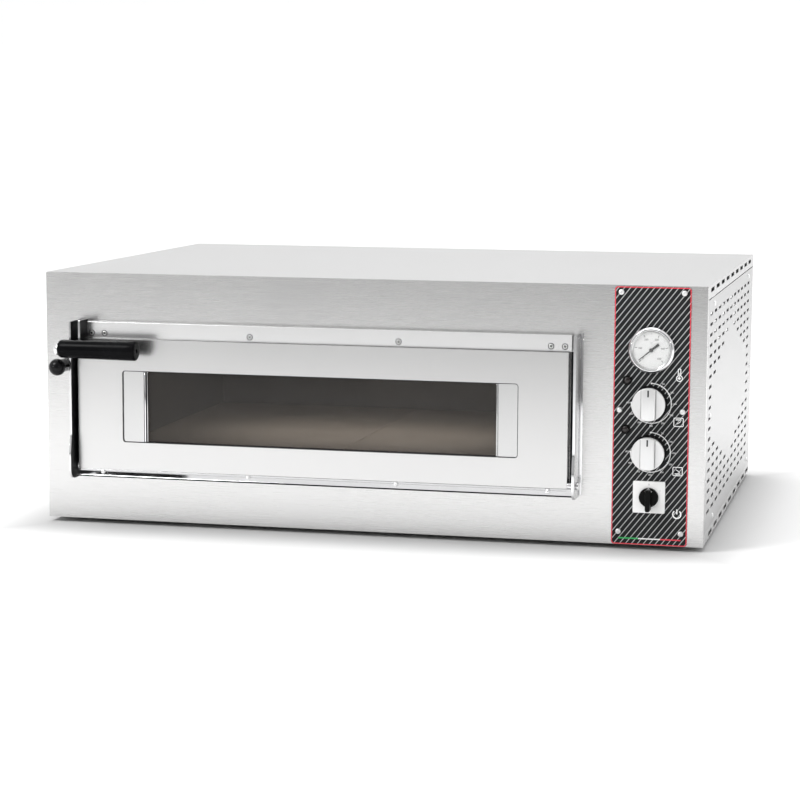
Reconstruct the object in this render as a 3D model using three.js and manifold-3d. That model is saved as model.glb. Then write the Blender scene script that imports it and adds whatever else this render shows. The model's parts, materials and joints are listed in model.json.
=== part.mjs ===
// Countertop electric deck oven for pizza: one chamber, bottom-hinged window
// door between two side cheeks, a control column on the right and a sliding
// vent pull on the left. Millimetres, +X right, +Y back, +Z up.
// Origin: middle of the overall box, on the underside of the feet.
import * as THREE from 'three';
import { mergeVertices, mergeGeometries } from 'three/addons/utils/BufferGeometryUtils.js';
import Module from 'manifold-3d';

const wasm = await Module();
wasm.setup();

// ---------------------------------------------------------------- dimensions
const W = 1100, D = 800, H = 413;          // case, without feet
const HW = W / 2;
const SHEET = 1.5;                         // case and chamber sheet
const GAP = 0.3;                           // assembly gap
const FOOT_H = 8, FOOT_R = 20, FOOT_X = 480, FOOT_Y0 = 70, FOOT_Y1 = 730;
const TOP_FLANGE_Z = 391.6, BASE_FLANGE_Z = 17.4;
const SEAM = 1.5;                          // open joint round the side panels
const RETURN_Y = 14;                       // depth of the front panel's fold
// chamber
const CH_X0 = -464, CH_X1 = 314, CH_Z0 = 78, CH_Z1 = 290, CH_Y1 = 690;
const AP_X0 = -460, AP_X1 = 310, AP_Z0 = 108, AP_Z1 = 286;
const STONE_Z0 = 96, STONE_Z1 = 112;
const WOOL_X0 = -497, WOOL_X1 = 346, WOOL_Z0 = 46, WOOL_Z1 = 324, WOOL_Y1 = 725;
// door
const SKIN_X0 = -486, SKIN_X1 = 335.5, SKIN_Z0 = 89, SKIN_Z1 = 306, SKIN_Y = -25;
const WIN_X0 = -408.5, WIN_X1 = 256, WIN_Z0 = 135, WIN_Z1 = 254.5, WIN_R = 5;
const STRIP_X0 = -474, STRIP_X1 = 339, STRIP_Y = -14, STRIP_Z0 = 306.4, STRIP_Z1 = 333;
const PIV_Y = -20, PIV_Z = 93, PIV_R = 4;
const CHEEK_L = [-494, -491], CHEEK_R = [346.5, 350.5];
// handle
const GRIP_Y = -60, GRIP_Z = 291.6, GRIP_X0 = -504, GRIP_X1 = -370, GRIP_R0 = 14.9, GRIP_R1 = 16.5;
// vent pull
const VENT_X = -510, VENT_Z = 260.3, BALL_Y = -56, BALL_R = 14;
const FLUE_X = -400, FLUE_Z = 230;
// controls
const CP_X0 = 404, CP_X1 = 524.5, CP_Z0 = 0.5, CP_Z1 = 411, CP_Y = -1.8;
const TH_X = 463.3, TH_Z = 311.7;
const K_X = 462.5, K1_Z = 227.7, K2_Z = 149.6, KNOB_R = 26.3, KNOB_BAR = 22;
const SW_X = 463.6, SW_Z = 78;
const LAMP = [[426, 262.9], [424.3, 184.9]];
// side vents: 11 columns by 20 rows with a six-sided blank field in the middle
const V_Y0 = 60, V_PITCH_Y = 65, V_Z_TOP = 366, V_PITCH_Z = 16.74, V_L = 36, V_H = 5;
const V_ROWS = [20, 7, 6, 5, 4, 3, 4, 5, 6, 7, 20];
const STRIP_SLOT = { pitch: 82.3, n: 9, l: 50, h: 6.5 };

// ------------------------------------------------------------------- helpers
const P = (x, y) => new THREE.Vector2(x, y);
function toM(g) {
  let s = g.index ? g.toNonIndexed() : g;
  let b = new THREE.BufferGeometry();
  b.setAttribute('position', s.getAttribute('position').clone());
  b = mergeVertices(b, 1e-4);
  const a = b.getAttribute('position').array, t = b.index.array;
  let vol = 0;
  for (let i = 0; i < t.length; i += 3) {
    const [p, q, r] = [3 * t[i], 3 * t[i + 1], 3 * t[i + 2]];
    vol += a[p] * (a[q + 1] * a[r + 2] - a[q + 2] * a[r + 1]) - a[p + 1] * (a[q] * a[r + 2] - a[q + 2] * a[r])
      + a[p + 2] * (a[q] * a[r + 1] - a[q + 1] * a[r]);
  }
  // outlines drawn clockwise are turned round so that faces point out
  if (vol < 0) for (let i = 0; i < t.length; i += 3) { const k = t[i + 1]; t[i + 1] = t[i + 2]; t[i + 2] = k; }
  const m = new wasm.Mesh({
    numProp: 3,
    vertProperties: new Float32Array(b.getAttribute('position').array),
    triVerts: new Uint32Array(b.index.array),
  });
  m.merge();
  return new wasm.Manifold(m);
}
function toG(m) {
  const q = m.getMesh();
  const g = new THREE.BufferGeometry();
  g.setAttribute('position', new THREE.BufferAttribute(new Float32Array(q.vertProperties), 3));
  g.setIndex(new THREE.BufferAttribute(new Uint32Array(q.triVerts), 1));
  g.computeVertexNormals();
  return g;
}
const box = (x0, x1, y0, y1, z0, z1) => {
  const g = new THREE.BoxGeometry(x1 - x0, y1 - y0, z1 - z0);
  g.translate((x0 + x1) / 2, (y0 + y1) / 2, (z0 + z1) / 2);
  return toM(g);
};
const mapG = (g, f) => {
  const a = g.getAttribute('position');
  for (let i = 0; i < a.count; i++) {
    const [x, y, z] = f(a.getX(i), a.getY(i), a.getZ(i));
    a.setXYZ(i, x, y, z);
  }
  return g;
};
function shapeOf(pts, holes = []) {
  const s = new THREE.Shape(pts.map((p) => P(p[0], p[1])));
  for (const h of holes) s.holes.push(new THREE.Path(h.map((p) => P(p[0], p[1]))));
  return s;
}
const rect = (x0, x1, z0, z1) => [[x0, z0], [x1, z0], [x1, z1], [x0, z1]];
function rrect(x0, x1, z0, z1, r, n = 4) {
  const out = [];
  const c = [[x1 - r, z0 + r, -90], [x1 - r, z1 - r, 0], [x0 + r, z1 - r, 90], [x0 + r, z0 + r, 180]];
  for (const [cx, cz, a0] of c) for (let i = 0; i <= n; i++) {
    const a = (a0 + (90 * i) / n) * Math.PI / 180;
    out.push([cx + r * Math.cos(a), cz + r * Math.sin(a)]);
  }
  return out;
}
function circ(cx, cz, r, n = 24) {
  const out = [];
  for (let i = 0; i < n; i++) {
    const a = (2 * Math.PI * i) / n;
    out.push([cx + r * Math.cos(a), cz + r * Math.sin(a)]);
  }
  return out;
}
const extrude = (pts, d, holes) => new THREE.ExtrudeGeometry(shapeOf(pts, holes), { depth: d, bevelEnabled: false, steps: 1 });
// outline in (x,z), thickness along Y
const exXZ = (pts, y0, y1, holes = []) => toM(mapG(extrude(pts, y1 - y0, holes), (x, y, z) => [x, y1 - z, y]));
// outline in (y,z), thickness along X
const exYZ = (pts, x0, x1, holes = []) => toM(mapG(extrude(pts, x1 - x0, holes), (x, y, z) => [x0 + z, x, y]));
// outline in (x,y), thickness along Z
const exXY = (pts, z0, z1, holes = []) => toM(mapG(extrude(pts, z1 - z0, holes), (x, y, z) => [x, y, z0 + z]));
// turned piece: profile [r, t], t along the axis; starts and ends on the axis or closes
function lathe(prof, seg) {
  return new THREE.LatheGeometry(prof.map((p) => P(p[0], p[1])), seg);
}
const cylY = (cx, cz, r, y0, y1, n = 24) => exXZ(circ(cx, cz, r, n), y0, y1);
const cylX = (cy, cz, r, x0, x1, n = 24) => exYZ(circ(cy, cz, r, n), x0, x1);
const cylZ = (cx, cy, r, z0, z1, n = 24) => exXY(circ(cx, cy, r, n), z0, z1);
const sub = (a, ...bs) => bs.reduce((m, b) => m.subtract(b), a);
const add = (a, ...bs) => bs.reduce((m, b) => m.add(b), a);
// stack of coaxial discs/cones about Y or X: profile [[t, r], ...] from back to front
function spunY(prof, cx, cz, seg = 28) {
  const p = [[0, prof[0][0]], ...prof.map(([t, r]) => [r, t]), [0, prof[prof.length - 1][0]]];
  return toM(mapG(lathe(p, seg), (x, y, z) => [cx + z, y, cz + x]));
}
function spunX(prof, cy, cz, seg = 28) {
  const p = [[0, prof[0][0]], ...prof.map(([t, r]) => [r, t]), [0, prof[prof.length - 1][0]]];
  return toM(mapG(lathe(p, seg), (x, y, z) => [y, cy + x, cz + z]));
}
function spunZ(prof, cx, cy, seg = 28) {
  const p = [[0, prof[0][0]], ...prof.map(([t, r]) => [r, t]), [0, prof[prof.length - 1][0]]];
  return toM(mapG(lathe(p, seg), (x, y, z) => [cx + z, cy + x, y]));
}

// tube along a flat run of points
class Run extends THREE.Curve {
  constructor(pts) { super(); this.pts = pts; }
  getSpacedPoints() { return this.pts; }
  getPoint(t) {
    const n = this.pts.length - 1, f = Math.min(t * n, n - 1e-9), i = Math.floor(f);
    return this.pts[i].clone().lerp(this.pts[i + 1], f - i);
  }
  getTangentAt(u) {
    const n = this.pts.length - 1, i = Math.round(u * n);
    const a = this.pts[Math.max(0, i - 1)], b = this.pts[Math.min(n, i + 1)];
    return b.clone().sub(a).normalize();
  }
}
function tube(pts, r, n = 6) {
  const s = shapeOf(circ(0, 0, r, n));
  const g = new THREE.ExtrudeGeometry(s, { steps: pts.length - 1, bevelEnabled: false, extrudePath: new Run(pts) });
  return toM(g);
}
function meander(z) {
  const pts = [], ys = [100, 200, 300, 400, 500, 600], xl = -390, xr = 240, xe = 352, R = 50;
  pts.push(new THREE.Vector3(xe, ys[0], z));
  for (let k = 0; k < ys.length; k++) {
    const toLeft = k % 2 === 0;
    if (k === ys.length - 1) { pts.push(new THREE.Vector3(xe, ys[k], z)); break; }
    const cx = toLeft ? xl : xr, s = toLeft ? -1 : 1;
    for (let i = 0; i <= 6; i++) {
      const a = -Math.PI / 2 + (Math.PI * i) / 6;
      pts.push(new THREE.Vector3(cx + s * R * Math.cos(a), ys[k] + R + R * Math.sin(a), z));
    }
  }
  return pts;
}

// ----------------------------------------------------------------- materials
const MAT = {
  brushed: { color: 0xc9cacb, roughness: 0.36, metalness: 0.9 },
  polished: { color: 0xdadbdc, roughness: 0.12, metalness: 1.0 },
  zinc: { color: 0xa9acaf, roughness: 0.5, metalness: 0.8 },
  liner: { color: 0x77736c, roughness: 0.6, metalness: 0.7 },
  stone: { color: 0x8c7d69, roughness: 0.95, metalness: 0 },
  wool: { color: 0xcfc8b4, roughness: 1, metalness: 0 },
  element: { color: 0x4a4644, roughness: 0.55, metalness: 0.7 },
  rubber: { color: 0x1a1a1a, roughness: 0.9, metalness: 0 },
  overlay: { color: 0x3a3b3b, roughness: 0.45, metalness: 0 },
  bakelite: { color: 0x141414, roughness: 0.28, metalness: 0 },
  white: { color: 0xf2f2ef, roughness: 0.5, metalness: 0 },
  knobface: { color: 0xc4c5c6, roughness: 0.3, metalness: 0.9 },
  needle: { color: 0x111111, roughness: 0.5, metalness: 0 },
  glass: { color: 0x2d2a27, roughness: 0.05, metalness: 0, transparent: true, opacity: 0.45 },
  clear: { color: 0xffffff, roughness: 0.03, metalness: 0, transparent: true, opacity: 0.25 },
  lamp: { color: 0x3c1512, roughness: 0.2, metalness: 0 },
  brass: { color: 0x9c8552, roughness: 0.4, metalness: 0.8 },
  gland: { color: 0x2a2a2a, roughness: 0.6, metalness: 0 },
};
const group = new THREE.Group();
const nodes = [];
function put(name, man, mat) {
  const mesh = new THREE.Mesh(toG(man), new THREE.MeshStandardMaterial(MAT[mat]));
  mesh.name = name;
  mesh.material.name = mat;
  nodes.push(mesh);
}

// ---------------------------------------------------------------------- case
const thermoHole = circ(TH_X, TH_Z, 30.8, 28);
const lampHoles = LAMP.map(([x, z]) => circ(x, z, 4.7, 12));
const shaftHoles = [circ(K_X, K1_Z, 6, 12), circ(K_X, K2_Z, 6, 12), circ(SW_X, SW_Z, 6, 12)];
{
  const face = exXZ(rect(-HW, HW, 0, H), 0, SHEET, [
    rect(AP_X0, AP_X1, AP_Z0, AP_Z1), thermoHole, ...lampHoles, ...shaftHoles,
    circ(VENT_X, VENT_Z, 11.7, 20),
  ]);
  const e = 1;
  put('front_panel', add(face,
    box(-HW, -HW + SHEET, e, RETURN_Y, 0, H - SHEET - GAP),
    box(HW - SHEET, HW, e, RETURN_Y, 0, H - SHEET - GAP),
    box(-HW, HW, e, RETURN_Y, 0, SHEET),
    box(-HW, HW, e, RETURN_Y, H - 2 * SHEET - GAP, H - SHEET - GAP)), 'brushed');
}
const stripSlots = (z, x0, x1, ys) => {
  const out = [];
  const S = STRIP_SLOT;
  for (let i = 0; i < S.n; i++) {
    const c = ys + i * S.pitch;
    out.push(box(x0, x1, c - S.l / 2, c + S.l / 2, z - S.h / 2, z + S.h / 2));
  }
  return out;
};
{
  const y0 = SHEET + GAP, y1 = D - SHEET - GAP, f0 = RETURN_Y + SEAM;
  let m = add(box(-HW, HW, y0, y1, H - SHEET, H),
    box(-HW, -HW + SHEET, f0, y1, TOP_FLANGE_Z, H - 1),
    box(HW - SHEET, HW, f0, y1, TOP_FLANGE_Z, H - 1));
  m = sub(m, ...stripSlots(404, HW - 4, HW + 2, 70), ...stripSlots(404, -HW - 2, -HW + 4, 70));
  put('top_cover', m, 'brushed');
}
{
  const y0 = RETURN_Y + 1.7, y1 = D - SHEET - GAP;
  let m = add(box(-HW, HW, y0, y1, 0, SHEET),
    box(-HW, -HW + SHEET, y0, y1, 0, BASE_FLANGE_Z),
    box(HW - SHEET, HW, y0, y1, 0, BASE_FLANGE_Z));
  m = sub(m, ...stripSlots(6.8, HW - 4, HW + 2, 105), ...stripSlots(6.8, -HW - 2, -HW + 4, 105));
  for (const x of [-FOOT_X, FOOT_X]) for (const y of [FOOT_Y0, FOOT_Y1]) m = m.subtract(cylZ(x, y, 4.4, -2, 4, 12));
  put('base_tray', m, 'brushed');
}
function sidePanel(x0, x1) {
  const cuts = [];
  for (let c = 0; c < 11; c++) {
    const yc = V_Y0 + c * V_PITCH_Y, n = V_ROWS[c];
    for (let r = 0; r < 20; r++) {
      if (!(r < n || r >= 20 - n)) continue;
      const zc = V_Z_TOP - r * V_PITCH_Z - 0;
      const g = new THREE.BoxGeometry(x1 - x0 + 4, V_L, V_H).toNonIndexed();
      g.translate((x0 + x1) / 2, yc, zc);
      cuts.push(g);
    }
  }
  return box(x0, x1, RETURN_Y + SEAM, D - SHEET - GAP, BASE_FLANGE_Z + GAP, TOP_FLANGE_Z - SEAM).subtract(toM(mergeGeometries(cuts)));
}
put('right_side_panel', sidePanel(HW - SHEET, HW), 'brushed');
put('left_side_panel', sidePanel(-HW, -HW + SHEET), 'brushed');
{
  const holes = [circ(FLUE_X, FLUE_Z, 32.5, 24), circ(480, 40, 9.5, 16)];
  for (let i = 0; i < 6; i++) holes.push(rect(400, 520, 250 + i * 16, 255 + i * 16));
  put('rear_panel', exXZ(rect(-HW, HW, 0, H), D - SHEET, D, holes), 'brushed');
}
for (const [n, x, y] of [['foot_front_left', -FOOT_X, FOOT_Y0], ['foot_front_right', FOOT_X, FOOT_Y0],
  ['foot_rear_left', -FOOT_X, FOOT_Y1], ['foot_rear_right', FOOT_X, FOOT_Y1]]) {
  put(n, spunZ([[-FOOT_H, FOOT_R], [-2, FOOT_R - 1], [-GAP, FOOT_R - 3], [-GAP, 4], [6, 4]], x, y, 24), 'rubber');
}

// ------------------------------------------------------------------- chamber
{
  let m = sub(box(CH_X0 - SHEET, CH_X1 + SHEET, SHEET + GAP, CH_Y1 + SHEET, CH_Z0 - SHEET, CH_Z1 + SHEET),
    box(CH_X0, CH_X1, -5, CH_Y1, CH_Z0, CH_Z1));
  m = add(m, box(CH_X0 - 1, CH_X0 + 20, 8, CH_Y1 - 3, 92.7, 95.7), box(CH_X1 - 20, CH_X1 + 1, 8, CH_Y1 - 3, 92.7, 95.7));
  m = sub(m, cylY(FLUE_X, FLUE_Z, 30.4, CH_Y1 - 5, CH_Y1 + 5, 24));
  for (const [y, z, r] of [[100, 86, 7], [600, 86, 7], [100, 276, 7], [600, 276, 7], [350, 276, 4], [350, 86, 4]]) {
    m = m.subtract(cylX(y, z, r, CH_X1 - 5, CH_X1 + 5, 12));
  }
  put('chamber_liner', m, 'liner');
}
put('stone_left', box(CH_X0 + 1.5, -75.4, 10, 682, STONE_Z0, STONE_Z1), 'stone');
put('stone_right', box(-74.6, CH_X1 - 1.5, 10, 682, STONE_Z0, STONE_Z1), 'stone');
put('stone_support_rail', add(box(-87, -63, 8, 684, 92.7, 95.7), box(-85, -65, 9, 16, CH_Z0 + GAP, 94),
  box(-85, -65, 676, 683, CH_Z0 + GAP, 94)), 'liner');
{
  let m = sub(box(WOOL_X0, WOOL_X1, 3, WOOL_Y1, WOOL_Z0, WOOL_Z1),
    box(CH_X0 - SHEET - GAP, CH_X1 + SHEET + GAP, -5, CH_Y1 + SHEET + GAP, CH_Z0 - SHEET - GAP, CH_Z1 + SHEET + GAP));
  m = sub(m, cylY(FLUE_X, FLUE_Z, 30.6, CH_Y1 - 5, WOOL_Y1 + 5, 24));
  for (const [y, z, r] of [[100, 86, 7], [600, 86, 7], [100, 276, 7], [600, 276, 7], [350, 276, 5], [350, 86, 5]]) {
    m = m.subtract(cylX(y, z, r, CH_X1 - 5, WOOL_X1 + 5, 12));
  }
  put('insulation_jacket', m, 'wool');
}
put('heating_element_top', tube(meander(276), 4), 'element');
put('heating_element_bottom', tube(meander(86), 4), 'element');
put('thermostat_probe_top', spunX([[262, 3], [352, 3], [352, 2], [356, 2]], 350, 276, 12), 'polished');
put('thermostat_probe_bottom', spunX([[262, 3], [352, 3], [352, 2], [356, 2]], 350, 86, 12), 'polished');
put('flue_duct', sub(cylY(FLUE_X, FLUE_Z, 30, CH_Y1 - 2, 745, 24), cylY(FLUE_X, FLUE_Z, 28.5, CH_Y1 - 10, 760, 24)), 'zinc');
put('flue_outlet', sub(add(cylY(FLUE_X, FLUE_Z, 41, 795.4, D - SHEET - GAP, 28), cylY(FLUE_X, FLUE_Z, 32, 796, D + 12, 28)),
  cylY(FLUE_X, FLUE_Z, 30, 780, 820, 28)), 'zinc');
put('vent_rod_guide', sub(add(box(-523, -499.2, 700, 702, SHEET + GAP, 274), box(-523, -499.2, 701, 716, SHEET + GAP, SHEET + GAP + 2)),
  cylY(VENT_X, VENT_Z, 4.3, 690, 710, 16)), 'zinc');
for (const [n, y] of [['chamber_support_front', 70], ['chamber_support_rear', 640]]) {
  put(n, exYZ([[y, 2.3], [y + 30, 2.3], [y + 30, 4.3], [y + 2, 4.3], [y + 2, 43.7], [y + 30, 43.7], [y + 30, 45.7], [y, 45.7]], -460, 330), 'zinc');
}
put('control_partition', box(362, 363.5, 24, 780, SHEET + GAP, 406), 'zinc');

// ------------------------------------------------------------------ controls
put('control_panel', exXZ(rrect(CP_X0, CP_X1, CP_Z0, CP_Z1, 5), CP_Y, -GAP, [thermoHole, ...lampHoles, ...shaftHoles]), 'overlay');
put('thermometer_case', sub(spunY([[28, 30], [CP_Y - GAP, 30], [CP_Y - GAP, 36.5], [-6.5, 36.5], [-9, 34.5]], TH_X, TH_Z, 36),
  cylY(TH_X, TH_Z, 32.6, -12, -3.6, 36)), 'polished');
put('thermometer_dial', cylY(TH_X, TH_Z, 32.2, -4.7, -3.9, 36), 'white');
put('thermometer_glass', cylY(TH_X, TH_Z, 32.2, -8.6, -7.4, 36), 'clear');
{
  const a = (-135) * Math.PI / 180;
  const L = (r, w) => [[r, w]];
  const base = [[-15, -1.6], [-15, 1.6], [-3, 1.2], [26, 0.35], [26, -0.35], [-3, -1.2]].reverse();
  const pts = base.map(([u, v]) => [TH_X + u * Math.cos(a) - v * Math.sin(a), TH_Z + u * Math.sin(a) + v * Math.cos(a)]);
  put('thermometer_needle', add(exXZ(pts, -6.1, -5.5), spunY([[-5.1, 3.4], [-6.4, 3.4], [-6.9, 2.4]], TH_X, TH_Z, 20)), 'needle');
}
for (const [n, z] of [['top', K1_Z], ['bottom', K2_Z]]) {
  put(`thermostat_body_${n}`, add(box(K_X - 22, K_X + 22, 8, 50, z - 24, z + 24), cylY(K_X, z, 5, 2.6, 10, 16), cylY(K_X, z, 3, -17, 10, 16)), 'zinc');
  put(`${n}_heat_knob`, sub(spunY([[CP_Y - GAP - 0.1, KNOB_R + 1.4], [-6.5, KNOB_R + 1.4], [-8, KNOB_R], [-20, KNOB_R - 0.2]], K_X, z, 36),
    cylY(K_X, z, 3.3, -18, 0, 16)), 'bakelite');
  put(`${n}_heat_knob_face`, add(spunY([[-20.3, KNOB_R], [-22, KNOB_R], [-22.8, KNOB_R - 0.9]], K_X, z, 36),
    box(K_X - KNOB_BAR / 2, K_X + KNOB_BAR / 2, -28, -21, z - 30, z + 30).intersect(cylY(K_X, z, KNOB_R - 0.4, -30, -20, 36))), 'knobface');
}
put('switch_plate', sub(exXZ(rrect(SW_X - 25.5, SW_X + 25.5, SW_Z - 25.5, SW_Z + 25.5, 2, 3), -5, CP_Y - GAP), cylY(SW_X, SW_Z, 4, -8, 0, 16)), 'white');
put('switch_body', add(box(SW_X - 20, SW_X + 20, 8, 60, SW_Z - 20, SW_Z + 20), cylY(SW_X, SW_Z, 5, 2.6, 10, 16), cylY(SW_X, SW_Z, 3, -12, 10, 16)), 'gland');
put('main_switch_knob', sub(add(spunY([[-5.3, 15.5], [-10, 15.5], [-11.5, 14.5]], SW_X, SW_Z, 32),
  box(SW_X - 4.5, SW_X + 4.5, -24, -10, SW_Z - 21, SW_Z + 13.5)), cylY(SW_X, SW_Z, 3.3, -13, 0, 16)), 'bakelite');
LAMP.forEach(([x, z], i) => put(`pilot_lamp_${i ? 'bottom' : 'top'}`,
  spunY([[22, 4.2], [CP_Y - GAP, 4.2], [CP_Y - GAP, 5.4], [-3.2, 5.2], [-4.4, 3.2]], x, z, 20), 'lamp'));
put('terminal_block', sub(box(445, 515, 700, 726, SHEET + GAP, 27), box(450, 460, 690, 740, 20, 30), box(467, 477, 690, 740, 20, 30),
  box(484, 494, 690, 740, 20, 30), box(500, 510, 690, 740, 20, 30)), 'white');
put('cable_gland', sub(add(spunY([[D + 12, 8], [D + 12, 13], [D + 0.3, 13], [D + 0.3, 9], [788, 9]].map(([t, r]) => [t, r]), 480, 40, 18)),
  cylY(480, 40, 5, 780, 820, 16)), 'gland');

// --------------------------------------------------------------- door cheeks
{
  const arc = [];
  for (let i = 0; i <= 6; i++) {
    const a = Math.PI + (Math.PI / 2) * (i / 6);
    arc.push([-31 + 18 * Math.cos(a), 91 + 18 * Math.sin(a)]);
  }
  const prof = [[-GAP, 73], [-GAP, 335], [-43, 335], [-43, 150], [-46.5, 132], [-49, 115], ...arc].reverse();
  for (const [n, [x0, x1]] of [['hinge_cheek_left', CHEEK_L], ['hinge_cheek_right', CHEEK_R]]) {
    put(n, exYZ(prof, x0, x1, [circ(PIV_Y, PIV_Z, PIV_R + 0.4, 16)]), 'polished');
  }
}

// ---------------------------------------------------------------------- door
{
  const T = 1.5, y0 = SKIN_Y, yb = -2;
  let m = sub(box(SKIN_X0, SKIN_X1, y0, yb, SKIN_Z0, SKIN_Z1),
    box(SKIN_X0 + T, SKIN_X1 - T, y0 + T, 5, SKIN_Z0 + T, SKIN_Z1 - T));
  m = sub(m, exXZ(rrect(WIN_X0, WIN_X1, WIN_Z0, WIN_Z1, WIN_R), y0 - 5, y0 + 5));
  m = sub(m, cylX(PIV_Y, PIV_Z, PIV_R + 0.3, SKIN_X0 - 3, SKIN_X0 + 8, 16), cylX(PIV_Y, PIV_Z, PIV_R + 0.3, SKIN_X1 - 8, SKIN_X1 + 3, 16));
  put('door_skin', m, 'brushed');
  put('door_inner_panel', exXZ(rect(SKIN_X0 + 2, SKIN_X1 - 2, SKIN_Z0 + 3.5, SKIN_Z1 - 2), -4.5, -3,
    [rrect(WIN_X0, WIN_X1, WIN_Z0, WIN_Z1, WIN_R)]), 'brushed');
  put('door_top_strip', add(box(STRIP_X0, STRIP_X1, STRIP_Y, STRIP_Y + T, STRIP_Z0, STRIP_Z1),
    box(STRIP_X0, STRIP_X1, STRIP_Y + 0.5, -3, STRIP_Z1 - T, STRIP_Z1),
    box(STRIP_X0, STRIP_X1, STRIP_Y + 0.5, -3, STRIP_Z0, STRIP_Z0 + T)), 'brushed');
  put('door_bottom_lip', exYZ([[-26.8, 88.6], [-25.3, 88.6], [-29.6, 77], [-16, 77], [-16, 75.2], [-31.6, 75.2], [-32.2, 76.2]].reverse(), SKIN_X0 - 0.6, 345.9), 'polished');
}
put('window_glass', box(-421, 270, -19, -15, 122, 267), 'glass');
put('glass_retainer_left', box(-419, -367, -22.6, -20.6, 124, 265), 'polished');
put('glass_retainer_right', box(222, 268, -22.6, -20.6, 124, 265), 'polished');
put('door_pivot_left', spunX([[-497.4, 6.5], [CHEEK_L[0] - GAP, 6.5], [CHEEK_L[0] - GAP, PIV_R], [CHEEK_L[1] + GAP, PIV_R],
  [CHEEK_L[1] + GAP, 6], [SKIN_X0 - GAP, 6], [SKIN_X0 - GAP, PIV_R], [-480, PIV_R]], PIV_Y, PIV_Z, 16), 'polished');
put('door_pivot_right', spunX([[330, PIV_R], [SKIN_X1 + GAP, PIV_R], [SKIN_X1 + GAP, 6], [CHEEK_R[0] - GAP, 6],
  [CHEEK_R[0] - GAP, PIV_R], [CHEEK_R[1] + GAP, PIV_R], [CHEEK_R[1] + GAP, 6.5], [353.9, 6.5]], PIV_Y, PIV_Z, 16), 'polished');
{
  const tip = [];
  for (let i = 0; i <= 6; i++) {
    const a = Math.PI / 2 + (Math.PI * i) / 6;
    tip.push([GRIP_Y + 8 * Math.cos(a), GRIP_Z + 8 * Math.sin(a)]);
  }
  const prof = [[-43, 337], ...[], [-43, GRIP_Z + 8], ...tip, [-43, GRIP_Z - 8], [-43, 276], [-27, 248], [-25.4, 248], [-25.4, 306.4], [-5, 306.4], [-5, 337]];
  put('handle_bracket', exYZ(prof, -478, -474.3, [circ(GRIP_Y, GRIP_Z, 5.3, 20)]), 'polished');
}
put('handle_rod', spunX([[-513, 3], [-511.6, 7], [-508.6, 10], [-504.4, 11], [-504.4, 5], [-376, 5]], GRIP_Y, GRIP_Z, 24), 'polished');
{
  let m = spunX([[GRIP_X0, 12.4], [GRIP_X0 + 2.5, GRIP_R0], [GRIP_X1 - 4, GRIP_R1], [GRIP_X1 - 1, GRIP_R1 - 1.2], [GRIP_X1, GRIP_R1 - 3.5]], GRIP_Y, GRIP_Z, 28);
  m = sub(m, cylX(GRIP_Y, GRIP_Z, 5.4, GRIP_X0 - 5, -375, 20),
    box(-478.4, -473.9, GRIP_Y - 8.5, GRIP_Y + 30, GRIP_Z - 8.5, GRIP_Z + 8.5));
  put('handle_grip', m, 'bakelite');
}

// ----------------------------------------------------------------- vent pull
{
  const a0 = Math.asin(11 / BALL_R);
  const n = 7;
  const ball = [];
  for (let i = 0; i <= n; i++) {
    const a = a0 + (Math.PI - a0) * (i / n);
    ball.push([BALL_Y + BALL_R * Math.cos(a), Math.max(0, BALL_R * Math.sin(a))]);
  }
  ball.pop();
  let m = spunY([[2.8, 11], [ball[0][0], 11], ...ball.slice(1)], VENT_X, VENT_Z, 24);
  m = m.subtract(cylY(VENT_X, VENT_Z, 3.3, -34, 10, 16));
  put('vent_knob', m, 'bakelite');
  put('vent_rod', spunY([[761, 4], [3.1, 4], [3.1, 3], [-32, 3]], VENT_X, VENT_Z, 16), 'polished');
  const dx = FLUE_X - VENT_X, dz = FLUE_Z - VENT_Z, L = Math.hypot(dx, dz), nx = -dz / L, nz = dx / L;
  const q = (x, z, s) => [x + s * nx, z + s * nz];
  const arm = exXZ([q(VENT_X, VENT_Z, -7), q(FLUE_X, FLUE_Z, -7), q(FLUE_X, FLUE_Z, 7), q(VENT_X, VENT_Z, 7)], 757, 759);
  put('damper_plate', sub(add(cylY(FLUE_X, FLUE_Z, 34, 757, 759, 28), arm, cylY(VENT_X, VENT_Z, 9, 757, 759, 20)),
    cylY(VENT_X, VENT_Z, 4.2, 750, 765, 16)), 'zinc');
}

// ------------------------------------------------------------------ assemble
const bb = new THREE.Box3();
for (const m of nodes) { m.geometry.computeBoundingBox(); bb.union(m.geometry.boundingBox); }
const SHIFT_X = -(bb.min.x + bb.max.x) / 2, SHIFT_Y = -(bb.min.y + bb.max.y) / 2, SHIFT_Z = -bb.min.z;
for (const m of nodes) {
  m.geometry.translate(SHIFT_X, SHIFT_Y, SHIFT_Z);
  group.add(m);
}
group.name = 'countertop_pizza_oven';
group.userData = { shift_mm: [SHIFT_X, SHIFT_Y, SHIFT_Z] };
export default group;
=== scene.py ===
import json
import math

import bmesh
import bpy
from mathutils import Matrix, Vector


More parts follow.
